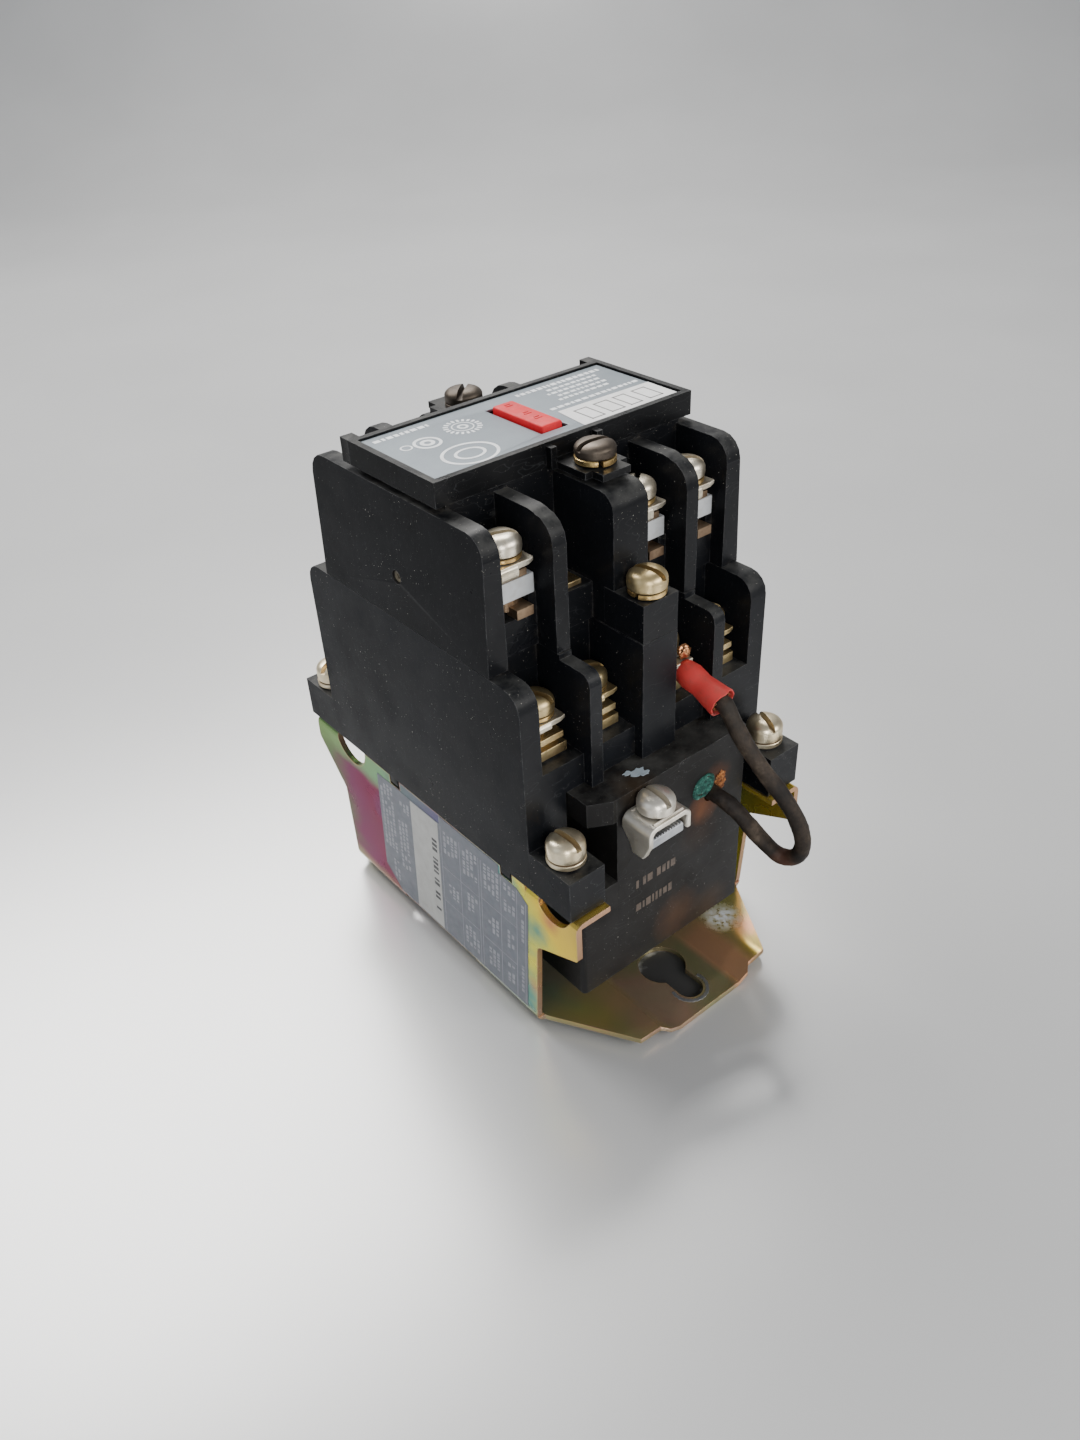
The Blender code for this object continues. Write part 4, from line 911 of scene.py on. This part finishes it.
def side_label():
    """Rating label on the left side wall: foil with a ruled table, marks and one white strip."""
    x0, x1 = -28.97, -28.80

    def lean(y, z):
        return (y + (36.0 - z) * 0.078, z)

    def patch(bm, a, b, c, d, x_from, x_to):
        prism(bm, [lean(a, c), lean(b, c), lean(b, d), lean(a, d)], "x", x_from, x_to)

    def mark(bm, a, b, c, d):
        patch(bm, a, b, c, d, x0 + 0.03, x0 + 0.06)

    bm = bmesh.new()
    prism(bm, [lean(*p) for p in LABEL_OUTLINE], "x", x0 + 0.05, x1)
    piece("side_label_foil", bm, LABEL, bevel=0.03, segments=1)
    bm = bmesh.new()
    patch(bm, -3.3, 6.2, 4.5, 35.1, x0 + 0.025, x0 + 0.06)
    piece("side_label_strip", bm, STRIP_PAPER)
    rng = random.Random(11)
    bm = bmesh.new()
    for y in (-4.2, -10.4, -16.4, -17.2, -23.3, -28.1, -30.7):
        top = 34.9 if y > -28.5 else 33.0
        mark(bm, y - 0.08, y + 0.08, 4.6, top)
    for y0, y1, rows in ((-16.4, -4.2, (14.2, 24.0)), (-28.1, -17.2, (14.0, 24.6))):
        for z in rows:
            mark(bm, y0, y1, z - 0.07, z + 0.07)
    for cell in LABEL_CELLS:
        label_text(bm, mark, rng, *cell)
    piece("side_label_print", bm, LABEL_INK)
    bm = bmesh.new()
    z = 8.0
    while z < 30.0:
        width = rng.uniform(0.5, 1.0)
        if rng.random() < 0.85:
            patch(bm, -2.6, -0.9, z, z + width, x0 + 0.01, x0 + 0.04)
        z += width + 0.5
    piece("side_label_strip_print", bm, DARK_INK)


COIL_FRONT = -39.5


def coil_print():
    """Two rows of faint worn bars on the front of the coil."""
    bm = bmesh.new()
    rng = random.Random(21)
    for x, end, z in ((-10.1, 0.8, 32.1), (-10.1, -1.6, 26.2)):
        while x < end:
            width = rng.uniform(0.45, 1.5)
            half = rng.uniform(0.75, 1.05)
            box(bm, (x, x + width), (COIL_FRONT - 0.04, COIL_FRONT + 0.02), (z - half, z + half))
            x += width + rng.choice((0.4, 0.4, 1.1))
    piece("coil_print", bm, COIL_INK)


def ring_mark(bm, centre, radius, width, z, stretch=1.0):
    """Flat printed ring."""
    loops = []
    for size, height in ((radius, z), (radius, z + 0.05), (radius - width, z + 0.05), (radius - width, z)):
        points = [(centre[0] + (x - centre[0]) * stretch, y) for x, y in arc(centre, size, 0, 360, 48)[:-1]]
        loops.append([bm.verts.new((x, y, height)) for x, y in points])
    skin_rings(bm, loops, closed=True)


FACE_Z = 108.34


def face_print():
    """Generic marks and a white sticker with hollow bars on the face plate."""
    z = FACE_Z
    rng = random.Random(3)

    def mark(bm, a, b, c, d):
        box(bm, (a, b), (c, d), (z, z + 0.05))

    bm = bmesh.new()
    outline = [(4.5, -11.4), (26.2, -11.6), (26.4, -3.8), (5.4, -3.3)]
    prism(bm, outline, "z", z, z + 0.09)
    piece("face_sticker", bm, STICKER, bevel=0.03, segments=1)
    bm = bmesh.new()
    for k, width in enumerate((3.0, 3.2, 2.8, 3.2)):
        a = 7.3 + 4.5 * k
        b = a + width
        for x, y in (((a, b), (-10.3, -10.02)), ((a, b), (-5.38, -5.1)), ((a, a + 0.28), (-10.3, -5.1)),
                     ((b - 0.28, b), (-10.3, -5.1))):
            box(bm, x, y, (z + 0.08, z + 0.12))
    piece("face_sticker_marks", bm, GREY_INK)
    bm = bmesh.new()
    rows = (
        (8.0, 5.2, 25.0, 0.5), (6.1, 10.8, 22.6, 0.36), (4.4, 9.6, 21.8, 0.36), (2.7, 10.6, 22.2, 0.36),
        (1.0, 9.4, 21.0, 0.36), (-1.7, 5.2, 25.6, 0.42), (8.1, -25.0, -14.0, 0.5),
    )
    for row, a, b, half in rows:
        at = a
        while at < b:
            length = rng.uniform(0.5, 1.3)
            mark(bm, at, min(at + length, b), row - half, row + half)
            at += length + 0.38
    ring_mark(bm, (-10.2, 3.2), 2.0, 0.22, z)
    for k in range(20):
        turn = 2 * math.pi * k / 20
        c, t = math.cos(turn), math.sin(turn)
        spoke = [(2.5, -0.22), (3.4, -0.22), (3.4, 0.22), (2.5, 0.22)]
        prism(bm, [(-10.2 + r * c - w * t, 3.2 + r * t + w * c) for r, w in spoke], "z", z, z + 0.05)
    ring_mark(bm, (-10.2, 3.2), 1.0, 0.45, z)
    ring_mark(bm, (-18.6, 1.6), 2.5, 0.55, z)
    ring_mark(bm, (-18.6, 1.6), 1.3, 0.7, z)
    ring_mark(bm, (-22.4, 2.2), 1.1, 0.3, z)
    ring_mark(bm, (-16.2, -7.0), 4.3, 0.5, z, 1.2)
    ring_mark(bm, (-16.2, -7.0), 2.2, 0.45, z, 1.3)
    piece("face_print", bm, INK)


# ------------------------------------------------------- grime and fittings

def crust(name, centre, size, mat, seed, rough):
    """Irregular patch of deposit lying on a face."""
    bm = bmesh.new()
    made = bmesh.ops.create_icosphere(bm, subdivisions=4, radius=1.0)["verts"]
    for v in made:
        n = noise.fractal(v.co * 1.9 + Vector((seed, seed, 0)), 0.7, 2.2, 4)
        v.co *= 1.0 + rough * n
        v.co = Vector(centre) + Vector((v.co.x * size[0], v.co.y * size[1], v.co.z * size[2]))
    piece(name, bm, mat, ROOT, (), 60.0)


SLOT_END_Y = -44.45


def grime():
    """Copper salts round the lead entry, paint spots, and the ring worn by a screw on the foot."""
    centre = Vector((6.9, COIL_FRONT, 46.3))
    loop = []
    for k in range(25):
        turn = 2 * math.pi * k / 24
        c, s = math.cos(turn), math.sin(turn)
        r = 1.0 + 0.16 * noise.noise(Vector((c, s, 2.0)) * 1.4)
        loop.append(centre + Vector((2.3 * r * c + 0.5 * r * s, 0, 2.1 * r * s)))
    bm = bmesh.new()
    sweep(bm, loop, lambda share, turn: 0.42 + 0.12 * math.sin(23 * share), 12, 0.16)
    piece("copper_salts_rim", bm, SALTS, angle=60.0)
    y = COIL_FRONT - 0.05
    crust("copper_salts", (6.9, y, 46.3), (2.1, 0.32, 1.8), SALTS, 1.0, 0.35)
    crust("rust_patch", (11.3, y, 46.0), (1.15, 0.34, 1.2), SALTS, 4.0, 0.5)
    crust("rust_root", (11.2, y, 44.4), (1.3, 0.4, 0.9), SALTS, 9.0, 0.5)
    rng = random.Random(8)
    for k, (x, y, size) in enumerate(((-6.9, -36.4, 1.35), (-8.4, -35.4, 0.75), (-6.1, -37.3, 0.8))):
        points = []
        for j in range(16):
            turn = 2 * math.pi * j / 16
            r = size * rng.uniform(0.72, 1.2)
            points.append((x + r * math.cos(turn) * 1.25, y + r * math.sin(turn) * 0.8))
        bm = bmesh.new()
        z = 54.93 + 0.02 * k
        prism(bm, points, "z", z, z + 0.12)
        piece(f"paint_spot_{k + 1}", bm, SPOT, bevel=0.04)
    bm = bmesh.new()
    loops = []
    for size, z in ((4.0, 1.17), (3.95, 1.23), (3.3, 1.24), (3.25, 1.17)):
        loop = []
        for k in range(ROUND + 1):
            turn = math.radians(-200.0 + 220.0 * k / ROUND)
            r = size + 0.06 * math.sin(k * 1.7)
            loop.append(bm.verts.new((r * math.cos(turn), SLOT_END_Y + r * math.sin(turn), z)))
        loops.append(loop)
    for a, b in zip(loops, loops[1:]):
        for k in range(ROUND):
            bm.faces.new((a[k], a[k + 1], b[k + 1], b[k]))
    piece("slot_wear", bm, GREY_STEEL)


def fittings():
    """Blind rivets in the side recesses, and the strips left in the empty bay."""
    turns = [2 * math.pi * k / 24 for k in range(24)]
    profile = ((0.01, 1.05), (0.35, 1.0), (0.5, 0.75), (0.95, 0.65), (1.15, 0.75), (1.25, 1.0), (1.25, 1.5))
    for hand, sx in (("left", -1), ("right", 1)):
        bm = bmesh.new()
        rings = []
        for r, depth in profile:
            x = sx * (28.70 - depth + 0.35)
            rings.append([bm.verts.new((x, 0.1 + r * math.cos(t), 87.8 + r * math.sin(t))) for t in turns])
        skin_rings(bm, rings)
        bm.faces.new(rings[0])
        bm.faces.new(rings[-1])
        piece(f"side_rivet_{hand}", bm, GRIT)
    for side, sy in (("near", -1), ("far", 1)):
        bm = bmesh.new()
        ys = sorted((sy * 12.7, sy * 21.4))
        box(bm, (-11.3, -5.7), ys, (86.25, 87.3))
        piece(f"empty_bay_strip_{side}", bm, STRIP, bevel=0.2)


# ------------------------------------------------------------ floor and light

# name, place, height it looks at, size, power and colour
LAMPS = (
    ("key", (0.10, 0.55, 0.75), 0.06, (0.9, 0.5), 17.0, (1.0, 0.98, 0.95)),
    ("left", (-0.75, 0.05, 0.45), 0.05, (0.5, 0.6), 0.6, (0.86, 0.92, 1.0)),
    ("front", (0.30, -0.75, 0.50), 0.05, (0.6, 0.4), 5.0, (1.0, 0.97, 0.93)),
    ("strip", (-0.42, -0.70, 0.34), 0.05, (0.16, 0.5), 3.0, (1.0, 0.99, 0.97)),
)


def studio():
    """Pale floor that curves up behind the object, with painted shadow under both feet, dim sky and soft area
    lamps.
    """
    g = Graph("floor")
    tint = g.mix(g.level(g.noise(9.0, 3.0, 0.5), 0.3, 0.7), (0.55, 0.555, 0.56), (0.59, 0.595, 0.60))
    # Painted shadow: dark discs on the floor under both feet, seen through the keyholes.
    for y in (-39.5, 39.5):
        tint = g.mix(g.times(g.spot((0.0, y, 0.0), 9.0, 0.25), 0.93), tint, (0.03, 0.03, 0.03))
    mat = g.finish(tint, 0.30, 0.35)
    bm = bmesh.new()
    rings = []
    reach, bend = 2600.0, 400.0
    turns = [math.pi / 2 * k / 10 for k in range(1, 11)]
    sweep_up = [(700 + bend * math.sin(t), bend - 0.05 - bend * math.cos(t)) for t in turns]
    for y, z in [(-1500.0, -0.05), (700.0, -0.05)] + sweep_up + [(1100, 1800)]:
        rings.append([bm.verts.new((-reach, y, z)), bm.verts.new((reach, y, z))])
    for a, b in zip(rings, rings[1:]):
        bm.faces.new((a[0], a[1], b[1], b[0]))
    bmesh.ops.rotate(bm, verts=bm.verts, cent=(0, 0, 0), matrix=Matrix.Rotation(math.radians(-37.7), 3, "Z"))
    bmesh.ops.scale(bm, vec=(MM,) * 3, verts=bm.verts)
    mesh = bpy.data.meshes.new("floor")
    bm.to_mesh(mesh)
    bm.free()
    mesh.materials.append(mat)
    mesh.shade_smooth()
    floor = bpy.data.objects.new("floor", mesh)
    bpy.context.scene.collection.objects.link(floor)
    world = bpy.data.worlds.new("studio")
    bpy.context.scene.world = world
    world.use_nodes = True
    back = world.node_tree.nodes["Background"]
    back.inputs["Color"].default_value = (0.80, 0.84, 0.90, 1.0)
    back.inputs["Strength"].default_value = 0.36
    for name, place, height, size, power, tint in LAMPS:
        lamp = bpy.data.lights.new(name, "AREA")
        lamp.shape = "RECTANGLE"
        lamp.size, lamp.size_y = size
        lamp.energy = power
        lamp.color = tint
        obj = bpy.data.objects.new(name, lamp)
        obj.location = place
        obj.rotation_euler = (Vector((0, 0, height)) - Vector(place)).to_track_quat("-Z", "Y").to_euler()
        bpy.context.scene.collection.objects.link(obj)


CAMERA_AT = (-0.11625, -0.15085, 0.17916)
CAMERA_TILT, CAMERA_ROLL, CAMERA_PAN = 54.59, 2.656, -39.571
LENS = 28.53


def camera():
    """Hand-held close view from above the near left corner."""
    data = bpy.data.cameras.new("camera")
    data.sensor_width = 36.0
    data.lens = LENS
    data.clip_start = 0.01
    data.clip_end = 20.0
    obj = bpy.data.objects.new("camera", data)
    obj.location = CAMERA_AT
    obj.rotation_euler = [math.radians(a) for a in (CAMERA_TILT, CAMERA_ROLL, CAMERA_PAN)]
    bpy.context.scene.collection.objects.link(obj)
    bpy.context.scene.camera = obj


housings()
contacts()
indicator()
terminals()
housing_screws()
coil_clamp()
jumper()
spring()
side_label()
coil_print()
face_print()
grime()
fittings()
studio()
camera()
